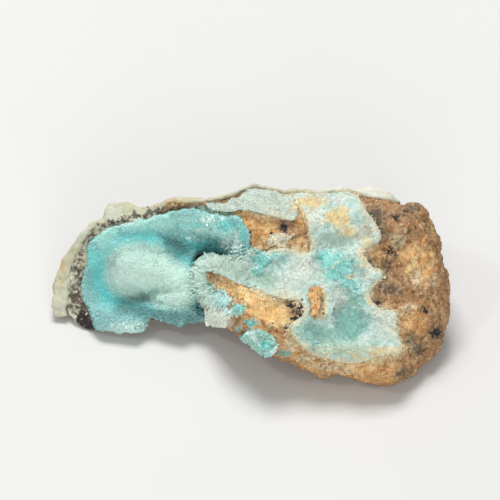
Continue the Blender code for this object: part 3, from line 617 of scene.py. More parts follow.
# %% Layers of the limonite
def limonite_ground(wire):
    """Brown, ochre and yellow grains with crumbs. Gives the colour, the brown and the yellow's mask."""
    brown, ochre, yellow = [
        add_group(wire, earthy_grain, Light=light, Middle=middle, Dark=dark, Grain=grain)
        for light, middle, dark, grain in GRAIN_COLOURS]
    colour = wire.mix(zone_mask(wire, "ochre", 0.7, 0.8, 0.8), brown["Color"], ochre["Color"])
    fresh = zone_mask(wire, "yellow", 0.6, 0.8, 0.8)
    colour = wire.mix(fresh, colour, yellow["Color"])
    dark_crumbs = add_group(wire, black_specks, Spacing=0.62, Size=0.42, Share=0.34)["Mask"]
    pale_crumbs = add_group(wire, black_specks, Spacing=0.54, Size=0.4, Share=0.16)["Mask"]
    gathered = wire.ramp(wire.noise(wire.place(), 0.4, 3.0, 0.6), 0.4, 0.6, 0.15, 0.8)
    colour = wire.mix(wire.times(dark_crumbs, gathered), colour, CRUMB_DARK)
    return wire.mix(wire.times(pale_crumbs, 0.5), colour, CRUMB_PALE), brown, fresh


def add_scraps(wire, colour, height):
    """Lays the pale, stained, teal and white scraps of crust over the ground."""
    teal = zone_mask(wire, "teal", 0.5, 0.3, 0.8)
    whitish = zone_mask(wire, "whitish", 0.5, 0.5, 0.7)
    colour = wire.mix(zone_mask(wire, "end", 0.6, 0.6, 1.2), colour, wire.mix(height, END_DARK, END_LIGHT))
    scraps = wire.mix(zone_mask(wire, "margin", 0.5, 0.6, 1.0), PALE_SCRAP, STAINED_EDGE)
    scraps = wire.mix(teal, scraps, TEAL_SCRAP)
    scraps = wire.dimmed(scraps, wire.ramp(height, 0.1, 0.6, 0.6, 1.15))
    scraps = wire.mix(whitish, scraps, WHITE_SCRAP)
    where = zone_mask(wire, "pale", 0.5, 0.5, 1.3)
    for mask in (zone_mask(wire, "margin", 0.4, 0.9, 1.1), whitish, teal):
        where = wire.math("MAXIMUM", where, mask)
    return wire.mix(where, colour, scraps)


def add_manganese(wire, colour, height, fresh):
    """Darkens the rock with dusk, soot and solid lumps. The fresh yellow ground takes little dusk."""
    depth = wire.number("black")
    for more, raggedness, softness, scatter, strength, tint in (
            (0.3, 0.4, 1.1, 1.2, wire.minus(0.7, wire.times(fresh, 0.6)), DUSK),
            (-0.3, 0.3, 1.0, 1.5, 0.9, wire.mix(height, SOOT_DARK, SOOT_LIGHT))):
        mask = add_group(wire, ragged_zone, Depth=wire.plus(depth, more), Raggedness=raggedness,
                         Softness=softness, Scatter=scatter)["Mask"]
        colour = wire.mix(wire.times(mask, strength), colour, tint)
    return wire.mix(zone_mask(wire, "lump", 0.15, 0.2, 0.8), colour, MANGANESE)


print("soot from", SOOT_DARK, "to", SOOT_LIGHT)

# %% [markdown]
# In the material itself the pits and cracks are darkened with painted shade. The rock's relief notes where
# they are, so the painted shade always falls into them.

# %% Limonite rock material
limonite_rock, wire, shader = new_material("limonite rock", Specular_IOR_Level=0.25)
colour, brown, fresh = limonite_ground(wire)
colour = add_scraps(wire, colour, brown["Height"])
colour = add_manganese(wire, colour, brown["Height"], fresh)
# painted shade: pits and cracks darkened toward dark brown
pit_shade = wire.ramp(wire.number("pit"), 0.0, 1.0)
colour = wire.mix(wire.times(pit_shade, 0.75), colour, PIT_SHADE)
finish_material(wire, shader, colour, brown["Roughness"], brown["Height"], 0.9)
print("made", limonite_rock.name, "of", len(limonite_rock.node_tree.nodes), "nodes")

# %% [markdown]
# ### Hemimorphite
# All the hemimorphite is one mineral, so its materials share a way of choosing colour: turquoise
# from a trace of copper where the crystals are open, white where the fibres are fine, grey-green
# where the vein is dense. Zones noted on each mesh say where.

# %% Hemimorphite colours
CLOUD_PALE = (0.74, 0.84, 0.76)
CLOUD_GREEN = (0.4, 0.62, 0.54)


def hemimorphite_colour(wire, start, zones, variation=0.12, mottling=0.0):
    """Mixes the colours of zones over a start colour, in order, then varies it all a little."""
    colour = start
    if mottling:
        clouds = wire.noise(wire.place(), 0.3, 4.0, 0.6)
        colour = wire.mix(wire.ramp(clouds, 0.52, 0.62, 0.0, mottling), colour, CLOUD_PALE)
        colour = wire.mix(wire.ramp(clouds, 0.47, 0.38, 0.0, mottling), colour, CLOUD_GREEN)
    for name, tint, raggedness, softness in zones:
        colour = wire.mix(zone_mask(wire, name, raggedness, softness), colour, tint)
    spot = wire.place()
    cloud = wire.ramp(wire.noise(spot, 1.1, 4.0, 0.65), 0.3, 0.7, 1.0 - variation, 1.0 + variation * 0.6)
    return wire.dimmed(colour, cloud)


def hemimorphite_shader(name, crystal, scatter_mm, scatter_tint):
    """A glassy material. Light scatters under a skin, but not in the small open-footed crystals."""
    return new_material(
        name, IOR=HEMIMORPHITE_IOR, Specular_IOR_Level=0.35, Subsurface_Weight=0.0 if crystal else 0.5,
        Subsurface_Scale=scatter_mm * MM, Subsurface_Radius=scatter_tint)


print("clouds in the vein run from", CLOUD_GREEN, "to", CLOUD_PALE)

# %% [markdown]
# The druse is deep turquoise on its walls and in the channel round the heads, and pale green on
# the heads themselves. One function makes the material of the lining and that of its crystals,
# so that the two can't drift apart.

# %% Druse materials
WALL_TEAL = (0.21, 0.48, 0.46)
DRUSE_TIP = (0.86, 0.97, 0.94)
DRUSE_ZONES = [  # zone, colour, raggedness, softness
    ("upper_wall", (0.36, 0.71, 0.64), 0.6, 0.9),
    ("channel", (0.08, 0.61, 0.61), 0.4, 1.6),
    ("shade", (0.03, 0.2, 0.19), 0.4, 1.5),
    ("pale_edge", (0.46, 0.68, 0.62), 0.7, 0.8),
    ("head", (0.57, 0.77, 0.68), 0.3, 1.9),
    ("head_top", (0.46, 0.66, 0.58), 0.2, 2.2),
    ("notch", (0.28, 0.52, 0.43), 0.3, 0.9),
    # painted shade on the low wall under the heads and the fan
    ("low_wall_shade", (0.03, 0.16, 0.15), 0.4, 1.2),
    ("bright", (0.14, 0.64, 0.6), 0.8, 0.5),
    ("clump", (0.68, 0.84, 0.78), 1.0, 0.5),
]


def druse_material(name, crystal):
    """Lining or crystals of the hollow. Crystals have paler tips and each a slightly different tone."""
    material, wire, shader = hemimorphite_shader(name, crystal, 0.6, (0.6, 1.0, 0.95))
    colour = hemimorphite_colour(wire, WALL_TEAL, DRUSE_ZONES)
    if crystal:
        colour = wire.mix(wire.ramp(wire.number("tip"), 0.1, 1.0, 0.0, 0.14), colour, DRUSE_TIP)
        colour = wire.dimmed(colour, wire.ramp(wire.number("tone"), 0.0, 1.0, 0.96, 1.04))
    grit = wire.noise(wire.place(), 9.0, 2.0, 0.6)
    roughness = wire.ramp(grit, 0.3, 0.7, 0.25, 0.5)
    finish_material(wire, shader, colour, roughness, grit, 0.02 if crystal else 0.1)
    return material


lining_material = druse_material("hollow lining", False)
points_material = druse_material("hollow points", True)
print("made", lining_material.name, "and", points_material.name)

# %% [markdown]
# The vein is paler and more varied: milk white, grey and teal by turns, with yellow stains where
# it touches the limonite. Its streaks come from the group of radiating fibres.

# %% Vein colours
VEIN_TIP = (0.88, 0.97, 0.94)
VEIN_BASE = (0.55, 0.76, 0.69)
VEIN_ZONES = [
    ("teal", (0.36, 0.62, 0.54), 0.7, 1.2),
    ("open_fan", (0.63, 0.8, 0.7), 0.3, 1.2),
    # painted shade on the upper side of the open fan
    ("fan_shade", (0.46, 0.6, 0.5), 0.3, 1.4),
    ("milk", (0.64, 0.74, 0.66), 0.9, 1.0),
    ("white", (0.75, 0.8, 0.7), 0.7, 0.8),
    ("grey", (0.49, 0.64, 0.54), 0.6, 1.0),
    ("grey_green", (0.35, 0.52, 0.42), 0.5, 1.2),
    ("dusty", (0.56, 0.58, 0.46), 0.6, 0.8),
    ("band", (0.56, 0.66, 0.5), 0.6, 0.8),
    ("slab", (0.59, 0.69, 0.59), 0.3, 0.6),
    ("pocket", (0.24, 0.5, 0.42), 0.4, 0.9),
    ("bright", (0.14, 0.58, 0.52), 0.8, 0.7),
    ("hook", (0.64, 0.94, 0.92), 0.6, 0.8),
    ("stain", (0.82, 0.66, 0.34), 0.7, 0.7),
    ("margin", (0.8, 0.71, 0.47), 0.5, 1.6),
    ("rim", (0.14, 0.12, 0.09), 0.5, 0.4),
]


def vein_material(name, crystal):
    """The fibrous vein, with silky streaks that run out from the middle of each fan."""
    material, wire, shader = hemimorphite_shader(name, crystal, 0.8, (0.7, 1.0, 0.95))
    colour = hemimorphite_colour(wire, VEIN_BASE, VEIN_ZONES, 0.16, 0.8)
    direction = wire.add("ShaderNodeAttribute", attribute_name="fan").outputs["Vector"]
    fibres = add_group(wire, radiating_fibres, Direction=direction, Reach=wire.number("reach"))
    streak = wire.ramp(fibres["Streaks"], 0.0, 1.0, 0.77, 1.01)
    if crystal:
        streak = wire.ramp(wire.number("tone"), 0.0, 1.0, 0.87, 0.95)
        colour = wire.mix(wire.ramp(wire.number("tip"), 0.1, 1.0, 0.0, 0.2), colour, VEIN_TIP)
    specks = add_group(wire, black_specks, Spacing=2.4, Size=0.2, Share=0.05)["Mask"]
    colour = wire.mix(specks, wire.dimmed(colour, streak), MANGANESE)
    roughness = wire.ramp(fibres["Height"], 0.3, 0.7, 0.55, 0.35)
    sugar = wire.noise(wire.place(), 2.2, 4.0, 0.7)
    relief = wire.plus(fibres["Height"], wire.times(sugar, 1.2))
    finish_material(wire, shader, colour, roughness, relief, 0.04 if crystal else 0.3)
    return material


vein_face_material = vein_material("vein face", False)
vein_blade_material = vein_material("vein blades", True)
print("made", vein_face_material.name, "and", vein_blade_material.name)

# %% [markdown]
# ### The outer crust
# Outside, the hemimorphite has grown as small waxy balls packed into larger lumps, pale yellow-green, and
# darker brown in the seams between the balls.

# %% Crust material
CRUST_YELLOW = (0.5, 0.49, 0.32)
CRUST_GREEN = (0.54, 0.57, 0.45)
# the colour of the painted highlight on the crust's top edge
CRUST_HIGHLIGHT = (0.66, 0.67, 0.57)
CRUST_SEAM = (0.34, 0.3, 0.17)
CRUST_BLACK = (0.09, 0.08, 0.06)
CRUST_STAIN = (0.55, 0.4, 0.2)
CRUST_DIRT = (0.44, 0.42, 0.3)

outer_crust_material, wire, shader = new_material(
    "outer crust", IOR=HEMIMORPHITE_IOR, Subsurface_Weight=0.35, Subsurface_Scale=1.5 * MM)
spot = wire.place()
broad = wire.ramp(wire.noise(spot, 0.18, 3.0, 0.6), 0.35, 0.65)
colour = wire.mix(broad, CRUST_YELLOW, CRUST_GREEN)
# painted highlight: the crust is paler and whiter at the top right, and its seams and dirt fade there
colour = wire.mix(zone_mask(wire, "fresh", 0.3, 1.4, 0.3), colour, CRUST_HIGHLIGHT)
off_highlight = wire.ramp(wire.number("fresh"), -1.0, 1.0, 1.0, 0.2)
seams = wire.times(wire.ramp(wire.number("seam"), 0.0, 1.0, 0.0, 0.3), off_highlight)
colour = wire.mix(seams, colour, CRUST_SEAM)
colour = wire.mix(zone_mask(wire, "black", 0.5, 0.3, 1.5), colour, CRUST_BLACK)
colour = wire.mix(zone_mask(wire, "stain", 1.2, 0.8), colour, CRUST_STAIN)
grit = wire.noise(spot, 1.6, 4.0, 0.72)
dirt = wire.times(wire.ramp(grit, 0.54, 0.68, 0.0, 0.35), off_highlight)
colour = wire.mix(dirt, colour, CRUST_DIRT)
finish_material(wire, shader, colour, wire.ramp(grit, 0.3, 0.7, 0.3, 0.6), grit, 0.4)
print("made", outer_crust_material.name)

# %% [markdown]
# ## The brown rock
# The rock carries everything else, and its broken face has the most varied colours of all. Each
# stain is a zone on the face: fresh ochre and yellow, the black of manganese, scraps of the pale
# crust, and a few grains of teal. The cracks are lines.

# %% Stains and cracks of the rock
ROCK_ZONES = {
    "ochre": [
        (1.6, 15.2, 7, 4.6, -18), (10.8, 10.7, 2.4, 1.1, 5), (11.6, 17, 1, 2.2, 10),
        (36.4, 8.7, 3.4, 2, 35), (39.9, 5.2, 2.2, 4), (2, -8.6, 4.6, 1.6, -38), (38, -7.4, 2.6, 2.4),
        (26.2, -19, 9, 2.6, -8), (30.8, 9.1, 3.6, 1.8), (-17, 19.6, 2.2, 1.2), (14, -18, 3, 2, -25),
        (8.6, -13.6, 3.4, 1.6, -38),
    ],
    "yellow": [
        (1, -1.4, 11, 2.2, -24), (4.5, -5, 6.4, 2.6, -22), (36.6, 5.2, 1.2, 2.2, -20),
        (21, -17.2, 4, 0.8, -6), (30, -15.4, 4.4, 0.9, 12),
    ],
    "whitish": [(6.4, 11.5, 2.8, 1.4, 10), (-8, -6.8, 3.6, 2.2), (11.8, 21.2, 1.6, 2)],
    "lump": [
        (7.4, 14.2, 0.9, 1), (4.6, 13.2, 0.4, 0.4), (9.6, -3.5, 1.1, 0.6, -10), (11.7, -3.5, 0.8, 0.4),
        (10.9, -4.6, 0.9, 0.7, 20), (11.2, -5.7, 1.1, 0.6, 10), (9.8, -6.4, 0.7, 0.5, 40),
        (8.6, -7.8, 0.9, 0.4, 40), (42.1, -9.8, 1, 0.9), (31.7, 8.7, 0.6, 0.6), (28.4, -3, 0.7, 0.6),
        (33, 16.2, 0.6, 0.6), (39.6, -4.6, 0.6, 0.5), (-37.2, -8.2, 2.2, 1.2, -30),
        (-38.6, -6.2, 1.3, 1.4), (0, 12.6, 0.4, 0.4),
    ],
    "pale": [
        (33.7, 11.4, 1.8, 1.4, 30), (33.6, -5.4, 0.6, 0.7), (41.5, 1.8, 0.7, 1.4),
        (37.6, 3, 1, 1.6, 20), (36, -4.1, 1, 0.6), (33, -7.3, 0.8, 0.8), (9.1, -12.5, 1.8, 1.1),
        (12.5, -15.3, 1.8, 0.9), (18.2, -17.4, 4, 0.8, -8), (36.4, -12, 0.8, 1.6), (-38, 2, 0.9, 6),
        (0.6, -9, 1.6, 0.8, -30), (29.6, -14.8, 5, 1.2, 8), (11, -3.4, 2, 1.4, -20),
    ],
    "teal": [
        (0, -7.3, 1.8, 1), (7.5, -14.1, 1.2, 0.8), (-2.4, -8.4, 1, 0.5, -30), (-11, 18.6, 3, 0.9, 6),
        (-7, 18.2, 2.6, 0.8, -10), (-17, -9, 7.5, 1.4),
    ],
}
BLACK_PLACES = [
    (7.4, 14.2, 1.1, 1.2), (10, -4.6, 1.4, 1, -30), (-39.9, 4.8, 1.4, 1.1), (-40.1, -1.8, 1.6, 2.6),
    (-37.4, -7.3, 2.5, 2.3), (-38.7, -4.1, 1.6, 1.8), (28.4, 16.8, 1.8, 2.2, 20), (29, 13.2, 1.5, 2.4),
    (36, 18.4, 2.2, 0.8, 25), (31.7, 8.7, 0.8, 0.8), (31.4, 5.6, 0.8, 2.4, -20), (31, 0.2, 2.6, 0.8),
    (28.5, -3, 1, 0.9), (42.1, -9.8, 1.3, 1.2), (36.2, -11.4, 0.8, 0.6), (38.7, -13.7, 1.2, 1),
    (34.6, -18.7, 1.4, 0.8, 25), (26.7, 6.4, 0.7, 0.9), (-8, 3.2, 1.2, 0.5, -30),
    (-6, 2.2, 0.8, 0.3, -25), (4, -16, 2, 0.8, -35),
]
RIM_LINE = [(-34.9, -9.3), (-38.0, -4.0), (-39.4, 1.1), (-39.6, 6.4), (-37.8, 11.4), (-34.2, 14.6),
            (-26.2, 16.9), (-18.2, 18.5), (-11.4, 19.4), (-5.7, 20.7), (0.0, 23.2), (2.7, 23.7)]
CRACK_LINES = [
    [(10.7, 18.7), (12.1, 15.9), (12.8, 13.2), (13.4, 8.7)], [(3.4, 8.9), (8.0, 11.2), (12.8, 12.8)],
    [(33.0, 10.2), (34.6, 11.6), (36.4, 13.4)],
]
LEFT_END = (-41.0, 0.0, 6.0, 16.0, 8)
CLEAN_BLOCK = (10.4, 13.4, 2.6, 2.6)  # a block beside the vein, with hardly any scraps
print("zones on the rock:", ", ".join(ROCK_ZONES))

# %% [markdown]
# The vein, the slab and the crust are remeshed before the rock, because the rock's relief looks for
# them: it is drawn up a little where they lie on it, so that no slit shows around them.

# %% Skins of the crusts
def distance_to(points, others):
    """How far each point is from the nearest of the others."""
    tree = kdtree.KDTree(len(others))
    for index, other in enumerate(others):
        tree.insert(other, index)
    tree.balance()
    return np.array([tree.find(point)[2] for point in points])


vein_mesh = finer_skin("fibrous_vein", 0.34, 6)
slab_mesh = finer_skin("upper_vein_slab", 0.32, 8)
crust_mesh = finer_skin("botryoidal_crust", 0.48, 6, thicker=0.15)
vein_outline_points = np.vstack([points_of(vein_mesh)[::3], points_of(slab_mesh)])
crust_outline_points = points_of(crust_mesh)[::2]

# %% [markdown]
# The rock's own relief is made of broad swells, packed grains one and two millimetres across, a few
# deep pits, and the cracks between much larger blocks. The flat underside stays flat.

# %% Rock relief
COARSE_GRAIN = 1.9  # mm
FINE_GRAIN = 0.95  # mm
ROCK_SWELLS = [(0.5, 4.2, 50), (0.4, 1.5, 53), (0.15, 0.8, 56)]  # height, size, seed


def rock_relief(points):
    """How far each point of the rock is raised, and how much it lies in a pit or a crack, for the painted
    shade there.
    """
    c = on_face(points)[2]
    stirred = wandering(points, 2.5, 0.5, 10)
    blocks, block_edge, block_number = grains(wandering(points, 6.0, 1.5, 20), 9.0, 24)
    coarse, _, coarse_number = grains(stirred, COARSE_GRAIN, 30)
    fine, _, _ = grains(stirred, FINE_GRAIN, 40)
    lift = layered(points, ROCK_SWELLS)
    lift += 0.45 * (0.5 - coarse / COARSE_GRAIN) + 0.5 * (0.5 - fine / FINE_GRAIN)
    lift += 0.5 * ease(1.0 - distance_to(points, vein_outline_points) / 1.6) * ease((c + 9.0) / 3.0)
    lift += 0.3 * ease(1.4 - distance_to(points, crust_outline_points))
    crack = 0.5 * ease(1.0 - (block_edge - blocks) / 0.3) * (block_number < 0.3)
    pit = ease(1.0 - coarse / 0.9) * (coarse_number < 0.08)
    for line in CRACK_LINES:
        crack = np.maximum(crack, ease(1.0 - line_distance(points, line) / 0.35) * (c > -6))
    lift -= 0.35 * crack + 0.6 * pit
    return lift * ease((points[:, 2] - 0.1) / 0.9), np.maximum(pit, crack * 0.8)


rock_mesh = finer_skin("limonite_matrix", 0.4, 3)
rock_lift, rock_pit_shade = rock_relief(points_of(rock_mesh))
rock_points = raised(rock_mesh, rock_lift)
print("rock raised by", rock_lift.min().round(2), "to", rock_lift.max().round(2), "mm")

# %% [markdown]
# The stains are noted once the relief is there, at the places where they will be seen. They belong
# to the broken face alone, so behind it every depth is taken away.

# %% Zones of the rock
a, _, c = on_face(rock_points)
front = ease((c + 18.0) / 2.0) * looking_out(normals_of(rock_mesh), -0.25)
hidden = DEPTH_LIMIT * (front - 1.0)  # takes a zone's depth away behind the face
note_zones(rock_mesh, rock_points, ROCK_ZONES, hidden)
note(rock_mesh, "pit", rock_pit_shade)
black_rim = band_depth(rock_points, [RIM_LINE], 1.0)
note(rock_mesh, "black", np.maximum(black_rim, oval_depth(rock_points, BLACK_PLACES)) + hidden)
pale_rim = band_depth(rock_points, [RIM_LINE[2:8]], 3.6) - 2.0 * ease((a + 24.0) / 6.0)
left_end = oval_depth(rock_points, [LEFT_END])
note(rock_mesh, "end", np.maximum(left_end, pale_rim) + hidden)
vein_gap = distance_to(rock_points, vein_outline_points)
bare_rock = rock_points[vein_gap > 0.9][::2]  # the rock that no vein covers
on_block = share_inside(rock_points, [CLEAN_BLOCK], 1.0, 0.5)
note(rock_mesh, "margin", 1.0 - vein_gap - 2.0 * ease((2.0 - a) / 6.0) - 1.5 * on_block)
print("rock that no vein covers:", len(bare_rock), "points")

# %% [markdown]
# ## The lined hollow
# Round heads of needles stand in the hollow, with a deep channel around them and pale, bright and
# shaded patches on the walls. The zones are noted on the lining and on every crystal that grows
# on it, so a crystal has the colour of its place.

# %% Zones of the hollow
HOLLOW_ZONES = {
    "head": [
        (-26.8, 4, 6.6, 5.8), (-22.4, 4.8, 6, 4.6, -12), (-18.2, 1.2, 6.6, 5.6, -25),
        (-17.4, -1, 4.8, 2.6, -8),
    ],
    "head_top": [(-26, 8.2, 6, 2.6)],
    "notch": [(-22.4, -0.9, 2.6, 1, 15), (-19, -0.4, 1.6, 0.6, 30), (2.3, -11.4, 4, 3)],
    "pale_edge": [(-27.5, -8.8, 5, 1.4), (-26, 16.2, 4, 0.8, 12), (-5, 11, 2, 1.2)],
    "bright": [
        (-5, 14.7, 2.6, 1.3, -8), (-1.8, 12.4, 1, 1.8), (-36, 8, 1.4, 2.6), (3.8, -12.4, 1.5, 0.8, -30),
        (-12, 14.6, 1.6, 0.5),
    ],
    "clump": [
        (-9.1, 15.9, 1.5, 0.7), (-3.4, 13.2, 0.8, 0.6), (-3, 9.4, 1.3, 1.6),
        (-6.8, 10.4, 1.4, 0.5, -30), (-11.4, 14, 1, 0.4), (-13.4, 12, 1, 0.5), (0.6, 14.4, 0.5, 0.7),
        (1.2, -10.6, 1.2, 0.5, -30), (5.4, -13.2, 0.6, 1.2, -30),
    ],
    "upper_wall": [(-9, 14.5, 7, 2.6, -8), (-22, 15.4, 8, 1.6, 6), (-33, 12, 3, 3)],
    # painted shade on the low wall under the heads and the fan
    "low_wall_shade": [(-15.5, -6.2, 6.0, 1.2)],
}
CHANNEL_LINES = [
    [(-34.2, 6.4), (-34.9, 2.3), (-33.3, -1.8), (-28.5, -4.1), (-22.8, -5.0), (-15.9, -5.0), (-10.3, -4.1)],
    [(-33.3, 7.7), (-29.6, 10.9), (-23.9, 11.8), (-18.2, 9.6), (-14.8, 6.4), (-12.5, 4.1)],
    [(-15.0, 10.4), (-8.0, 9.8)],
]
SHADE_LINES = [
    [(-18.4, 10.8), (-15.5, 10.0)],
    [(-30.0, -4.6), (-24.0, -5.2), (-17.0, -5.6), (-11.0, -5.2)],
    [(-19.0, -6.0), (-14.0, -6.2), (-10.0, -5.2)], [(-14.0, -4.6), (-9.6, -3.8)],
]


def note_hollow_zones(mesh, points):
    """Notes the zones that colour the lining and its crystals."""
    note_zones(mesh, points, HOLLOW_ZONES)
    note(mesh, "channel", band_depth(points, CHANNEL_LINES, 3.0))
    note(mesh, "shade", band_depth(points, SHADE_LINES, 2.6))


print("zones in the hollow:", ", ".join(HOLLOW_ZONES))

# %% [markdown]
# The solid's heads have facets. Here they are evened out like soft dough, round crowns are raised on
# them, and the bottom is lifted where the hollow is shallow.

# %% Form of the lining
CROWNS = [  # height in mm, an oval, and the width of the crown's slope
    (0.8, (-26.6, 4.6, 7.0, 6.6), 3.9), (0.7, (-17.6, 1.4, 6.2, 5.4, -25), 3.9),
    (1.4, (-17.8, -2.2, 5.6, 3.4, -6), 2.6), (0.5, (-21.0, -3.0, 3.4, 1.8), 1.6),
]
SHALLOW_PLACES = [  # an oval, and the height c that the bottom of the hollow reaches there
    ((-26.5, 10.2, 8.0, 3.4, 4), -7.8), ((-17.8, -1.8, 5.2, 1.8), -5.8),
    ((-13.8, 1.5, 2.8, 6.0), -6.2), ((-13.6, 6.8, 3.0, 3.0), -9.4),
]
HOLLOW_MIDDLE = (-21.0, 4.0, 16.5, 11.0, 4)  # the part that is evened out
HANGING_LOBE = (-2.8, 9.4, 4.6, 2.8, -10)
BESIDE_FAN = (-13.4, 1.6, 2.4, 6.4)


def relaxed(mesh, share, rounds):
    """Evens out a mesh where share is 1 and leaves it where share is 0."""
    pairs = np.empty(len(mesh.edges) * 2, np.int32)
    mesh.edges.foreach_get("vertices", pairs)
    first, second = pairs.reshape(-1, 2).T
    points = points_of(mesh)
    neighbours = np.bincount(first, minlength=len(points)) + np.bincount(second, minlength=len(points))
    for _ in range(rounds):
        total = np.zeros_like(points)
        for axis in range(3):
            total[:, axis] += np.bincount(first, points[second, axis], len(points))
            total[:, axis] += np.bincount(second, points[first, axis], len(points))
        points = points + (total / neighbours[:, None] - points) * (0.6 * share)[:, None]
    return points


lining_mesh = finer_skin("turquoise_druse", 0.38, 10)
inner = ease((oval_depth(points_of(lining_mesh), [HOLLOW_MIDDLE]) + 1.0) / 3.0)
set_points(lining_mesh, relaxed(lining_mesh, inner, 110))
points = points_of(lining_mesh)
crowns = sum(height * share_inside(points, [oval], width) for height, oval, width in CROWNS)
facing = looking_out(normals_of(lining_mesh), 0.0, 0.2)
for shallow_place, level in SHALLOW_PLACES:
    share = facing * share_inside(points, [shallow_place], 1.6, 0.4)
    crowns = np.maximum(crowns, share * (level - on_face(points)[2]))
lobe = 1.8 * share_inside(points, [HANGING_LOBE], 1.4)
toward_fan = 1.3 * share_inside(points, [BESIDE_FAN], 1.2)
points = points + crowns[:, None] * OUT_OF_FACE - lobe[:, None] * UP_FACE + toward_fan[:, None] * ALONG
set_points(lining_mesh, points)
set_points(lining_mesh, relaxed(lining_mesh, inner, 24))
print("crowns up to", crowns.max().round(2), "mm high")

# %% [markdown]
# The lining is kept a little below its final height, because the crystals that stand on it bring it
# back up to the form of the solid.

# %% Finish the lining
CRYSTAL_COVER = 0.32  # mm that the crystals stand up, and the lining is lowered for
STRAY = 0.45  # mm by which the lining wanders along and up the face
LINING_SWELLS = [(0.12, 1.6, 60), (0.08, 0.8, 63)]

points, normals = points_of(lining_mesh), normals_of(lining_mesh)
lumpy = layered(points, LINING_SWELLS)
points = points + STRAY * swells(points, 2.0, 65)[:, None] * ALONG
points = points + STRAY * swells(points, 2.0, 67)[:, None] * UP_FACE
lowered = (CRYSTAL_COVER + 0.1) * looking_out(normals, -0.2, 0.4)
points = kept_inside(points + normals * (lumpy + 0.3 - lowered)[:, None])
set_points(lining_mesh, points)
note_hollow_zones(lining_mesh, points)
print("lining lowered by up to", lowered.max().round(2), "mm")

# %% [markdown]
# ## Crystals in bulk
# A druse holds thousands of crystals, too many to place one by one. Their roots are spread evenly
# over a skin by choosing its triangles by area, and every draw comes from one generator with a
# fixed seed, so the same crystals grow on each run.

# %% Roots
SEED = 7
draw = np.random.default_rng(SEED)


def unit(vectors):
    """The vectors at length 1."""
    return vectors / np.maximum(np.linalg.norm(vectors, axis=1), 1e-9)[:, None]


def spread_roots(mesh, count, wanted):
    """Places and normals of count roots on the skin, where wanted(points, normals) is likely."""
    mesh.calc_loop_triangles()
    corners = np.empty(len(mesh.loop_triangles) * 3, np.int32)
    mesh.loop_triangles.foreach_get("vertices", corners)
    corners = corners.reshape(-1, 3)
    points = points_of(mesh)
    first, second, third = (points[corners[:, k]] for k in range(3))
    normal = np.cross(second - first, third - first)
    area = np.linalg.norm(normal, axis=1) / 2
    normal = unit(normal)
    weight = area * wanted((first + second + third) / 3, normal)
    chosen = draw.choice(len(area), count, p=weight / weight.sum())
    u, v = np.sqrt(draw.random(count)), draw.random(count)
    roots = (first[chosen] * (1 - u)[:, None] + second[chosen] * (u * (1 - v))[:, None]
             + third[chosen] * (u * v)[:, None])
    return roots, normal[chosen]


def tilted(directions, amount):
    """The directions, each leaning at random by about amount."""
    return unit(directions + draw.normal(0.0, amount, directions.shape))


print("the crystals are drawn from seed", SEED)

# %% [markdown]
# One mesh made from arrays holds all the crystals of a piece. A crystal is a flat blade with a
# chisel end, which is how hemimorphite ends: ten points and fourteen triangles.

# %% Blades
BLADE_CORNERS = np.array([  # across, through, along: the foot, the shoulder, then the chisel edge
    (-0.8, -0.8, 0), (0.8, -0.8, 0), (0.8, 0.8, 0), (-0.8, 0.8, 0),
    (-1, -1, 1), (1, -1, 1), (1, 1, 1), (-1, 1, 1), (-0.7, 0, 2), (0.7, 0, 2),
], float)
BLADE_FACES = np.array([
    (0, 1, 5), (0, 5, 4), (1, 2, 6), (1, 6, 5), (2, 3, 7), (2, 7, 6), (3, 0, 4), (3, 4, 7),
    (4, 5, 9), (4, 9, 8), (6, 7, 8), (6, 8, 9), (5, 6, 9), (7, 4, 8),
])


def blades(roots, axes, lengths, widths, depths, sink=0.25):
    """One mesh of blades: long axes, and sizes in mm. Each foot is sunk into the skin."""
    count = len(roots)
    sides = unit(np.cross(axes, draw.normal(size=axes.shape)))
    through = np.cross(axes, sides)
    heights = np.stack([-sink * np.ones(count), lengths - widths * 0.7, lengths], axis=1)
    level = BLADE_CORNERS[:, 2].astype(int)
    points = (
        roots[:, None, :]
        + sides[:, None, :] * (BLADE_CORNERS[None, :, 0, None] * widths[:, None, None] / 2)
        + through[:, None, :] * (BLADE_CORNERS[None, :, 1, None] * depths[:, None, None] / 2)
        + axes[:, None, :] * heights[:, level][:, :, None]
    ).reshape(-1, 3)
    faces = (np.arange(count)[:, None, None] * len(BLADE_CORNERS) + BLADE_FACES[None]).reshape(-1, 3)
    mesh = bpy.data.meshes.new("blades")
    mesh.from_pydata(kept_inside(points), [], faces)
    note(mesh, "tip", np.tile(level / 2, count))
    note(mesh, "tone", np.repeat(draw.random(count), len(BLADE_CORNERS)))
    return mesh


print("a blade has", len(BLADE_CORNERS), "points and", len(BLADE_FACES), "triangles")

# %% [markdown]
# Growing is the same everywhere: roots are chosen where crystals are wanted, each gets a size and a
# leaning axis, and the blades become one piece.

# %% Grow crystals
def finished(name, mesh, finish, smooth=True):
    """Crystals as a piece. A finish is a material, a slot that is not used, and a function that notes the
    zones.
    """
    material, slot, note_zones_of = finish
    if note_zones_of:
        note_zones_of(mesh, points_of(mesh))
    piece(name, mesh, material, smooth=smooth)


def grow(name, skin, count, wanted, form, varied, lean, finish, sink=0.25, smooth=True,
         leader=None, growth=None):
    """Crystals spread over a skin, as one piece.

    Form is a crystal's length, width and depth in mm, varied how much sizes differ, and lean how
    much directions do. A leader is a direction that all of them turn toward, and growth gives the
    size at each root.
    """
    roots, outward = spread_roots(skin, count, wanted)
    size = draw.lognormal(0.0, varied, count)
    if growth:
        size = size * growth(roots)
    axes = tilted(outward if leader is None else unit(outward + leader), lean)
    finished(name, blades(roots, axes, *(side * size for side in form), sink), finish, smooth)


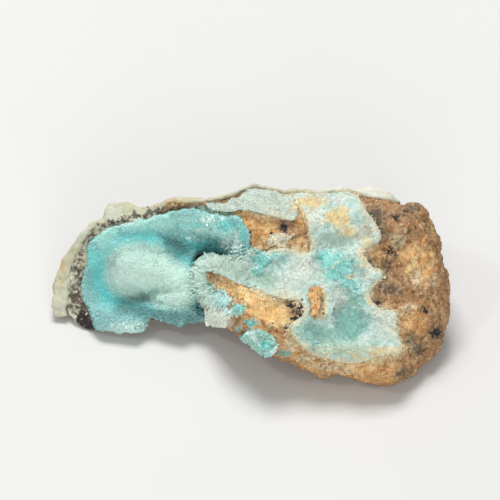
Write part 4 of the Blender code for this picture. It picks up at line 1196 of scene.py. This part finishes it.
def open_side(start, places=None, width=1.0, more=0.0, turn=0.3):
    """Says that crystals are wanted where a skin looks out, inside some ovals if any are given."""
    def wanted(points, normals):
        inside = share_inside(points, places, width, more) if places else 1.0
        return looking_out(normals, start, turn) * inside
    return wanted


print("wanted on a skin that looks out:", open_side(0.0)(test_spot, OUT_OF_FACE[None])[0])

# %% [markdown]
# The walls of the hollow carry stubby points. The round heads carry much finer needles, closely
# packed and square to the surface, which is what makes them look like velvet.

# %% Points and needles of the hollow
DRUSE_FINISH = (points_material, "turquoise_druse", note_hollow_zones)
LARGER_PLACES = [
    (-5, 13.5, 4.5, 4.5), (-13, 12.5, 4, 2.6, -20), (-27, -7.4, 7, 2.6), (-36, 8, 2, 3.6),
    (-22, -3.4, 4, 1),
]
ON_HEADS = (HOLLOW_ZONES["head"], 0.8, 0.5)
POINT_LENGTH = CRYSTAL_COVER * 0.9


def wall_wanted(points, normals):
    """Where stubby points grow: the open side of the lining, off the heads."""
    return looking_out(normals, -0.1) * (1.0 - 0.95 * share_inside(points, *ON_HEADS))


def larger(points):
    """1 where the wall's crystals have grown larger, and 0.75 elsewhere."""
    return 0.75 + 0.25 * share_inside(points, LARGER_PLACES, 1.5, 0.3)


grow("hollow_points", lining_mesh, 12000, wall_wanted, (POINT_LENGTH, 0.42, 0.36),
     varied=0.25, lean=0.14, finish=DRUSE_FINISH, growth=larger)
grow("head_needles", lining_mesh, 9500, open_side(-0.1, *ON_HEADS), (POINT_LENGTH, 0.26, 0.22),
     varied=0.15, lean=0.05, finish=DRUSE_FINISH)

# %% [markdown]
# Here and there a crystal has grown larger and clear. These few let half of the light through,
# bent by the mineral's own refractive index and tinted by its trace of copper, and they catch the
# lamps as sparks.

# %% Clear crystals
clear_material, wire, shader = new_material(
    "clear crystal", Base_Color=(0.62, 0.93, 0.88), IOR=HEMIMORPHITE_IOR, Transmission_Weight=0.5,
    Roughness=0.05)
CLEAR_FORM = (0.5, 0.42, 0.26)
CLEAR_PLACES = [
    (-20.6, -2.7, 1.9, 0.9, 10), (-12.6, 11.8, 1.6, 0.9, -30), (-9.2, 15.6, 1.2, 0.6),
    (-31.8, -4, 0.4, 0.4), (-34.5, -6.3, 0.5, 0.4), (-24.6, -8.6, 2, 0.8), (21, 6, 3.2, 2.6),
    (3, 6.4, 2.2, 1.5), (22.8, 1.8, 1.6, 0.8, -20), (15, -12.5, 2.6, 1.4, -30),
]


def clear_crystals(name, skin, count, slot):
    """Larger glassy blades in a few places on the open side of a skin."""
    grow(name, skin, count, open_side(0.0, CLEAR_PLACES, width=0.6, more=0.5), CLEAR_FORM,
         varied=0.3, lean=0.4, finish=(clear_material, slot, None), sink=0.03, smooth=False)


clear_crystals("clear_points", lining_mesh, 90, "turquoise_druse")

# %% [markdown]
# ## The fibrous vein
# The vein is dense hemimorphite, broken across, so its fans of fibres are seen from the side and
# end on. Each point belongs to the nearest fan, and its colours are zones, like the rock's.

# %% Fans and zones of the vein
FAN_MIDDLES = [
    (-5.6, 1.4), (4.5, -1.0), (9.0, 9.5), (12.0, 1.0), (18.0, 1.5), (25.0, 3.5), (17.0, -6.5),
    (23.5, -12.5), (31.0, -10.5), (14.0, -13.5), (17.5, 14.5), (24.5, 17.0), (16.0, 22.0), (28.0, -4.5),
    (2.0, 8.0), (-3.5, -6.0),
]
VEIN_ZONE_PLACES = {
    "bright": [
        (19.8, 5.2, 3.6, 3, -20), (22.6, 1.8, 2.4, 1.3, -20), (2.6, 7, 1.9, 1.6, 20),
        (5.6, 7.7, 2.2, 0.8, 10), (2, 4.9, 1.3, 1.2), (-7, -0.6, 1.6, 1.5), (-9.2, 2.2, 1, 1.2),
        (-3.2, -3.6, 2.2, 1.1, -20), (-6.6, -3, 1.2, 0.8), (17, 8, 2, 1),
    ],
    "stain": [
        (13.7, 20, 3.4, 1.5), (20, 16.4, 3, 2.3), (21.9, 13.4, 1.4, 1.2), (19.8, 6.2, 1.6, 0.2, 30),
        (23, 3, 0.6, 0.3), (10.5, 19.4, 1.2, 1), (25.6, 7.4, 0.9, 1.8), (26.9, 10.3, 0.9, 1.2),
        (27.3, -2.6, 0.7, 1.2), (15.5, -2.7, 1.8, 3.6), (29.6, -13.9, 5, 0.7, 8),
        (18.2, -15.7, 4.1, 0.6, -10),
    ],
    "white": [
        (15.5, 16.4, 2.7, 2.1), (17.1, 20.9, 5, 1.2), (12.4, 5.6, 2.4, 1, 30), (6.4, 11.5, 3, 1.6, 10),
        (-8, -6.6, 3.4, 2.4), (29, -4.6, 1.2, 3, 30), (26.6, 4.4, 1, 2.4), (6.2, 0.9, 2.6, 0.8, -25),
        (-8.2, -5.2, 1.2, 1.6), (24.6, 8.6, 0.8, 1.8, 10),
    ],
    "milk": [
        (11, 3.4, 5.5, 3.2, 25), (31, -8.7, 3.2, 3), (20, -2.7, 1.9, 3.9, 15), (25.5, 13.2, 2.8, 2.4),
        (7.4, 0.4, 5, 1.8, -25),
    ],
    "hook": [(-6.8, -1.8, 1.6, 1.5), (-5.4, -4.6, 1, 0.8)],
    "open_fan": [(-8.6, 3.6, 6, 4.4), (-9, -1.5, 4.6, 4.6), (-2, 4.6, 5, 2.6, -15)],
    # painted shade on the upper side of the open fan
    "fan_shade": [(-3.6, 5, 4.8, 2.4, -20)],
    "dusty": [(25.9, 13.4, 2, 2.2), (30, -14, 3.4, 1, 10)],
    "slab": [(0, 20, 12.5, 4.4)],
    "rim": [(-7.6, 20.5, 2.8, 0.45, 17), (-2.6, 22.3, 2.6, 0.45, 21)],
    "grey": [(18.7, 11.4, 4.6, 1.8), (27.8, 16.9, 2.2, 1.6)],
    "grey_green": [(3.4, 2.3, 2.8, 1.5, -20), (-1.6, 3.6, 2, 0.7, -20)],
    "pocket": [(22.8, -7.3, 3.3, 4)],
    "teal": [
        (14.1, -10.9, 6, 3.6, -35), (18.2, -11.4, 3.4, 3), (11.4, -9.1, 3.2, 2.1), (22.8, -2.3, 3.4, 2),
        (15.9, 6.4, 2.3, 2.4),
    ],
    "band": [(23.9, -13.4, 10, 1.4, -4)],
}
AROUND_POCKET = (22.8, -7.3, 5.5, 6.0)  # here the rock is near, but doesn't stain the vein
print("fans in the vein:", len(FAN_MIDDLES))

# %% [markdown]
# Each point of the vein is noted with the direction of its fibres as well as with its depth in every
# zone. Rock stains the vein where they meet, so the margin follows the bare rock and not an oval.

# %% Notes on the vein
def fans_at(points):
    """The direction from the middle of each point's fan, and the distance from it in mm."""
    a, b, _ = on_face(wandering(points, 3.0, 0.7, 70))
    nearest = np.full(len(points), FAR)
    direction = np.zeros((len(points), 3))
    for middle_a, middle_b in FAN_MIDDLES:
        da, db = a - middle_a, b - middle_b
        reach = np.hypot(da, db)
        outward = (da[:, None] * ALONG + db[:, None] * UP_FACE) / np.maximum(reach, 0.2)[:, None]
        direction = np.where((reach < nearest)[:, None], outward, direction)
        nearest = np.minimum(nearest, reach)
    return direction, nearest


def note_vein_zones(mesh, points):
    """Notes the fans and the zones that colour the vein."""
    direction, reach = fans_at(points)
    fan_note = mesh.attributes.new("fan", "FLOAT_VECTOR", "POINT")
    fan_note.data.foreach_set("vector", np.asarray(direction, np.float32).ravel())
    note(mesh, "reach", reach)
    note_zones(mesh, points, VEIN_ZONE_PLACES)
    rock_gap = distance_to(points, bare_rock) + 2.0 * ease((6.0 - on_face(points)[0]) / 6.0)
    in_pocket = 3.0 * share_inside(points, [AROUND_POCKET], 1.0, 0.5)
    note(mesh, "margin", 1.7 - rock_gap - in_pocket)


print("nearest fan to the face's middle:", fans_at(test_spot)[1].round(1)[0], "mm away")

# %% [markdown]
# Ribs run out from the middle of each fan, and between them the surface is broken and grainy. The
# vein's face is lowered a little for the blades that will stand on it.

# %% Relief of the vein
def vein_relief(points, normals):
    """How far each point of the vein is raised."""
    direction, reach = fans_at(points)
    around = direction * 6.0 + reach[:, None] * np.array([0.12, 0.0, 0.0])
    ribs = 0.2 * swells(around, 0.8, 80) + 0.1 * swells(around * 2.0, 0.8, 84)
    steps = 0.14 * (grains(wandering(points, 2.0, 0.4, 90), 1.5, 94)[2] - 0.5)
    facing = looking_out(normals)
    return (ribs + steps + 0.08 * swells(points, 0.7, 98)) * facing + 0.16 - 0.3 * facing


vein_lift = vein_relief(points_of(vein_mesh), normals_of(vein_mesh))
note_vein_zones(vein_mesh, raised(vein_mesh, vein_lift))
print("vein raised by", vein_lift.min().round(2), "to", vein_lift.max().round(2), "mm")

# %% [markdown]
# Blades lie along the fibres of the vein, leaning out of it, and stand up more where a small
# cavity has let them grow free and turquoise. The smooth pocket at the right has hardly any.

# %% Blades of the vein
VEIN_FINISH = (vein_blade_material, "fibrous_hemimorphite", note_vein_zones)


def in_cavity(points):
    """1 in the small turquoise cavities, 0 elsewhere."""
    return share_inside(points, VEIN_ZONE_PLACES["bright"], 0.8, 0.3)


def vein_wanted(points, normals):
    """Where blades grow on the vein."""
    smooth_pocket = share_inside(points, VEIN_ZONE_PLACES["pocket"], 1.0, 0.3)
    sugary = share_inside(points, VEIN_ZONE_PLACES["white"], 0.8, 0.3)
    patchy = 0.05 + 0.3 * ease(swells(points, 2.6, 110))
    most = np.max([patchy, 1.4 * in_cavity(points), 0.6 * sugary], axis=0)
    return looking_out(normals, 0.5) * (1.0 - 0.93 * smooth_pocket) * most


def flat_on_skin(directions, outward):
    """The directions, turned to lie along the skin."""
    return unit(directions - outward * np.sum(directions * outward, axis=1)[:, None])


roots, outward = spread_roots(vein_mesh, 7000, vein_wanted)
cavity = in_cavity(roots)
upright = (0.5 + 0.8 * draw.random(len(roots)) + 0.8 * cavity)[:, None]
axes = tilted(unit(flat_on_skin(fans_at(roots)[0], outward) + outward * upright), 0.25)
size = draw.lognormal(0.0, 0.3, len(roots)) * (1.0 + 0.5 * cavity)
vein_blades = blades(roots, axes, 0.22 * size, 0.24 * size, 0.18 * size, sink=0.15)
finished("vein_blades", vein_blades, VEIN_FINISH)

# %% [markdown]
# ## The open fan
# At the vein's left end the fibres stand free, as a white fan of long thin blades around one
# middle, half open like a shell. They lie almost flat along the skin, and overlap like feathers.

# %% Blades of the open fan
OPEN_FAN = (-5.6, 1.4)


def from_fan_middle(points):
    """How far each point is from the open fan's middle, along and up the face."""
    a, b, _ = on_face(points)
    return a - OPEN_FAN[0], b - OPEN_FAN[1]


def fan_wanted(points, normals):
    """Where the long blades are rooted: a half ring around the fan's middle."""
    reach = np.hypot(*from_fan_middle(points))
    left_half = on_face(points)[0] < -1.0
    return looking_out(normals, -0.1) * ((reach > 2.2) & (reach < 7.5) & left_half)


roots, outward = spread_roots(vein_mesh, 6000, fan_wanted)
along, up = from_fan_middle(roots)
away = unit(along[:, None] * ALONG + up[:, None] * UP_FACE)
axes = tilted(unit(flat_on_skin(away, outward) + outward * 0.12), 0.04)
size = draw.lognormal(0.0, 0.2, len(roots))
longer = 1.0 + 0.4 * ease((-10.6 - on_face(roots)[0]) / 1.5)
fan_blades = blades(roots, axes, size * longer, 0.14 * size, 0.12 * size, sink=0.5)
finished("fan_blades", fan_blades, VEIN_FINISH, smooth=False)
clear_crystals("clear_blades", vein_mesh, 110, "fibrous_hemimorphite")

# %% [markdown]
# ## The outer crust
# The balls have two sizes, each the inside of a grain, with the seams noted, where the material darkens
# them toward brown.
# Toward the right end the thin sheet has flaked off raggedly, so its points are drawn into the rock.

# %% Crust relief
DARK_EDGE = [(-34.5, 13.9), (-32.3, 14.8), (-25.1, 17.0), (-20.7, 18.3), (-17.4, 19.4)]
DARK_SPOTS = [(-40.6, 4.8, 1.6, 1.2), (-41.0, -2.4, 2.0, 3.2)]
STAIN_SPOTS = [(-43.4, 4.4, 0.6, 1.4), (-16.8, 20.4, 1.6, 0.7)]
# where the painted highlight lies on the crust's top edge
HIGHLIGHT_PLACE = (24.0, 23.0, 9.0, 3.4)
CRUST_END = 30.5  # mm along the face, where the thin sheet starts to flake off

points, normals = points_of(crust_mesh), normals_of(crust_mesh)
big, big_edge, _ = grains(points, 2.6, 120)
small, _, _ = grains(points, 1.1, 130)
lift = 0.24 * (1.0 - (big / 1.5) ** 2) + 0.14 * (1.0 - (small / 0.7) ** 2) + 0.15 * swells(points, 4.5, 134)
lift += 0.35 * ease(1.3 - distance_to(points, rock_points[::2])) - 0.1
lift *= ease(points[:, 2] / 0.6)
a, _, c = on_face(points)
ragged_end = CRUST_END - layered(points, [(2.4, 3.4, 136), (1.0, 1.3, 138)])
worn_away = ease((a - ragged_end) / 1.6) * ease((-9.0 - c) / 2.0)
inward = unit((rock_points.mean(axis=0) - points) * np.array([0.0, 1.0, 1.0]))
points = kept_inside(points + normals * lift[:, None] + inward * (3.2 * worn_away)[:, None])
set_points(crust_mesh, points)
print("crust raised by", lift.min().round(2), "to", lift.max().round(2), "mm")

# %% [markdown]
# The crust's edge is black beside the hollow's rim, and only there: its back is clean, apart from the stain
# where it has flaked off. At the top right one place is painted paler and whiter, a painted highlight where
# the top edge catches the light.

# %% Zones of the crust
seam = ease(1.0 - (big_edge - big) / 0.4)
note(crust_mesh, "seam", seam)
on_back = ease((-9.5 - on_face(points)[2]) / 2.0)
dark = np.maximum(band_depth(points, [DARK_EDGE], 1.2), oval_depth(points, DARK_SPOTS))
note(crust_mesh, "black", dark - 3.0 * on_back)
flaked = np.clip(3.0 * (worn_away - 0.6), -3.0, 3.0)
note(crust_mesh, "stain", np.maximum(oval_depth(points, STAIN_SPOTS), flaked))
# the painted highlight at the top right
note(crust_mesh, "fresh", oval_depth(points, [HIGHLIGHT_PLACE]))
piece("outer_crust", crust_mesh, outer_crust_material, ["botryoidal_crust"])
print("share of the crust in seams:", seam.mean().round(2))

# %% [markdown]
# ## Small pieces
# The slab at the top edge is a scrap of the same vein, apart from it by a crack. It gets the same
# material, and sugary grains in patches.

# %% The top slab
def slab_wanted(points, normals):
    """Where sugary grains lie on the slab: its broken face, in patches."""
    return looking_out(normals, 0.3) * (0.25 + 0.75 * ease(swells(points, 1.8, 160) + 0.5))


points = points_of(slab_mesh)
slab_lift = layered(points, [(0.22, 2.2, 140), (0.12, 0.9, 143)]) + 0.05
note_vein_zones(slab_mesh, raised(slab_mesh, slab_lift))
grow("slab_grains", slab_mesh, 700, slab_wanted, (0.22, 0.26, 0.2),
     varied=0.3, lean=0.6, finish=VEIN_FINISH, sink=0.15)
piece("top_slab", slab_mesh, vein_face_material, ["upper_vein_slab"])

# %% [markdown]
# ## Where the pieces meet
# Nothing in the stone ends at a clean line. Sugary crystals of the vein are strewn over the rock
# beside it, thinning out away from the edge, and longer ones close the joints between the lining,
# the fan and the slab. The skins of the rock, the lining and the vein become pieces last, because
# crystals are rooted on them until then.

# %% Crystals over the joints
SUGARY_PLACES = [(-8.0, -6.8, 3.4, 2.2), (6.4, 11.5, 2.8, 1.4, 10)]
JOINT_PLACES = [(-2.2, 8.5, 4.0, 1.8), (-13.6, 1.6, 0.9, 4.6), (-12.0, -4.4, 1.2, 1.6)]


def strewn_wanted(points, normals):
    """Where sugary crystals lie on the rock: beside the vein, and in a few patches."""
    a, _, c = on_face(points)
    front = looking_out(normals, -0.1) * (c > -12)
    beside = ease(1.0 - distance_to(points, vein_outline_points) / 1.1)
    beside *= 0.3 + 0.7 * ease((a - 8.0) / 6.0)
    patches = 2.0 * share_inside(points, SUGARY_PLACES, 0.8, 0.4)
    return front * np.maximum(beside * (0.2 + 0.8 * ease(swells(points, 1.6, 170) + 0.5)), patches)


at_joints = open_side(-0.4, JOINT_PLACES, width=0.5, more=0.4, turn=0.4)
grow("strewn_crystals", rock_mesh, 2600, strewn_wanted, (0.2, 0.28, 0.22),
     varied=0.3, lean=0.5, finish=VEIN_FINISH, sink=0.15, smooth=False)
grow("joint_points", lining_mesh, 700, at_joints, (0.8, 0.34, 0.28),
     varied=0.25, lean=0.25, finish=DRUSE_FINISH, smooth=False, leader=OUT_OF_FACE)
grow("joint_blades", vein_mesh, 600, at_joints, (0.8, 0.3, 0.22),
     varied=0.25, lean=0.25, finish=VEIN_FINISH, smooth=False, leader=OUT_OF_FACE)
piece("limonite_rock", rock_mesh, limonite_rock, ["limonite_matrix"])
piece("hollow_lining", lining_mesh, lining_material, ["turquoise_druse"])
piece("vein_face", vein_mesh, vein_face_material, ["fibrous_vein"])

# %% [markdown]
# The flake of limonite in the vein shares the rock's material, so every zone that the material
# reads is noted on it too. A note that is missing would read as 0, which is a zone's very edge.

# %% The flake
ABSENT = -3.0  # mm outside a zone
FLAKE_EDGE = [(16.9, -1.4), (16.8, -4.0), (15.6, -6.2)]
flake_mesh = finer_skin("limonite_chip", 0.25, 3)
points = raised(flake_mesh, 0.1 * swells(points_of(flake_mesh), 0.9, 150) + 0.12)
note(flake_mesh, "pit", np.zeros(len(points)))
note(flake_mesh, "ochre", np.ones(len(points)))
note(flake_mesh, "black", band_depth(points, [FLAKE_EDGE], 0.5))
for absent in ("pale", "teal", "end", "margin", "yellow", "whitish", "lump"):
    note(flake_mesh, absent, np.full(len(points), ABSENT))
piece("limonite_flake", flake_mesh, limonite_rock, ["limonite_chip"])

# %% [markdown]
# A second, much smaller pocket has broken open on the overhanging edge. It is lined like the hollow,
# so it takes the lining's material, and the crystals stand out all over its outer side.

# %% The lower pocket
pocket_mesh = finer_skin("lower_druse", 0.32, 8)
note_hollow_zones(pocket_mesh, raised(pocket_mesh, 0.1))
grow("lower_pocket_points", pocket_mesh, 1400, open_side(-0.3), (0.36, 0.36, 0.26),
     varied=0.3, lean=0.3, finish=DRUSE_FINISH, smooth=False)
piece("lower_pocket", pocket_mesh, lining_material, ["lower_druse"])

# %% [markdown]
# ## Table, light and camera
# The stone lies on a broad pale table top with a faint unevenness in its colour. It is part of the
# stage and not of the stone.

# %% The table
TABLE_HALF = 1.5  # m
TABLE_GREYS = (0.58, 0.575, 0.56), (0.605, 0.6, 0.585)

table_mesh = bpy.data.meshes.new("table_top")
corners = [(x * TABLE_HALF, y * TABLE_HALF, 0) for x, y in ((-1, -1), (1, -1), (1, 1), (-1, 1))]
table_mesh.from_pydata(corners, [], [(0, 1, 2, 3)])
table_material, wire, shader = new_material("pale table", Specular_IOR_Level=0.3)
colour = wire.mix(wire.noise(wire.place(), 0.02, 2.0), *TABLE_GREYS)
finish_material(wire, shader, colour, 0.6, wire.noise(wire.place(), 1.5, 2.0), 0.02, 0.3)
table_mesh.materials.append(table_material)
table = bpy.data.objects.new("table_top", table_mesh)
scene.collection.objects.link(table)
print("made", table.name)

# %% [markdown]
# The light is even and bright, as on a light table: a pale sky, one broad soft lamp above and
# behind the stone that lays its shadow to the front, a softer one in front of the face, and a
# small one for sparkle.

# %% The lamps and the sky
LAMPS = {  # place, size and power, in metres and watts
    "broad_lamp": ((-0.06, 0.26, 0.71), 0.32, 5.4),
    "front_lamp": ((0.08, -0.84, 0.3), 0.4, 4.1),
    "sparkle_lamp": ((-0.35, -0.2, 0.6), 0.06, 0.5),
}
LIT_PLACE = (0.0, 0.0, 0.015)
SKY_COLOUR = (0.97, 0.98, 1.0, 1.0)
SKY_STRENGTH = 0.42

for name, (place, size, power) in LAMPS.items():
    light = bpy.data.lights.new(name, "AREA")
    light.size = size
    light.energy = power
    lamp = bpy.data.objects.new(name, light)
    lamp.location = place
    aim = Vector(LIT_PLACE) - Vector(place)
    lamp.rotation_euler = aim.to_track_quat("-Z", "Y").to_euler()
    scene.collection.objects.link(lamp)
    print(name, "of", power, "W")

sky = bpy.data.worlds.new("sky")
sky.use_nodes = True
background = sky.node_tree.nodes["Background"]
background.inputs["Color"].default_value = SKY_COLOUR
background.inputs["Strength"].default_value = SKY_STRENGTH
scene.world = sky
scene.view_settings.view_transform = "Standard"

# %% [markdown]
# The camera looks straight at the broken face through a long lens, so the stone keeps its true
# proportions.

# %% The camera
CAMERA_DISTANCE = 900.0  # mm
VIEW_WIDTH = 113.9  # mm across the picture, at the face
VIEW_MIDDLE = FACE_MIDDLE + UP_FACE * 9.1

camera = bpy.data.cameras.new("camera")
camera.sensor_width = 36.0
camera.lens = camera.sensor_width * CAMERA_DISTANCE / VIEW_WIDTH
camera_object = bpy.data.objects.new("camera", camera)
camera_object.location = Vector(VIEW_MIDDLE + OUT_OF_FACE * CAMERA_DISTANCE) * MM
camera_object.rotation_euler = Vector(-OUT_OF_FACE).to_track_quat("-Z", "Y").to_euler()
scene.collection.objects.link(camera_object)
scene.camera = camera_object
print("lens:", round(camera.lens), "mm")
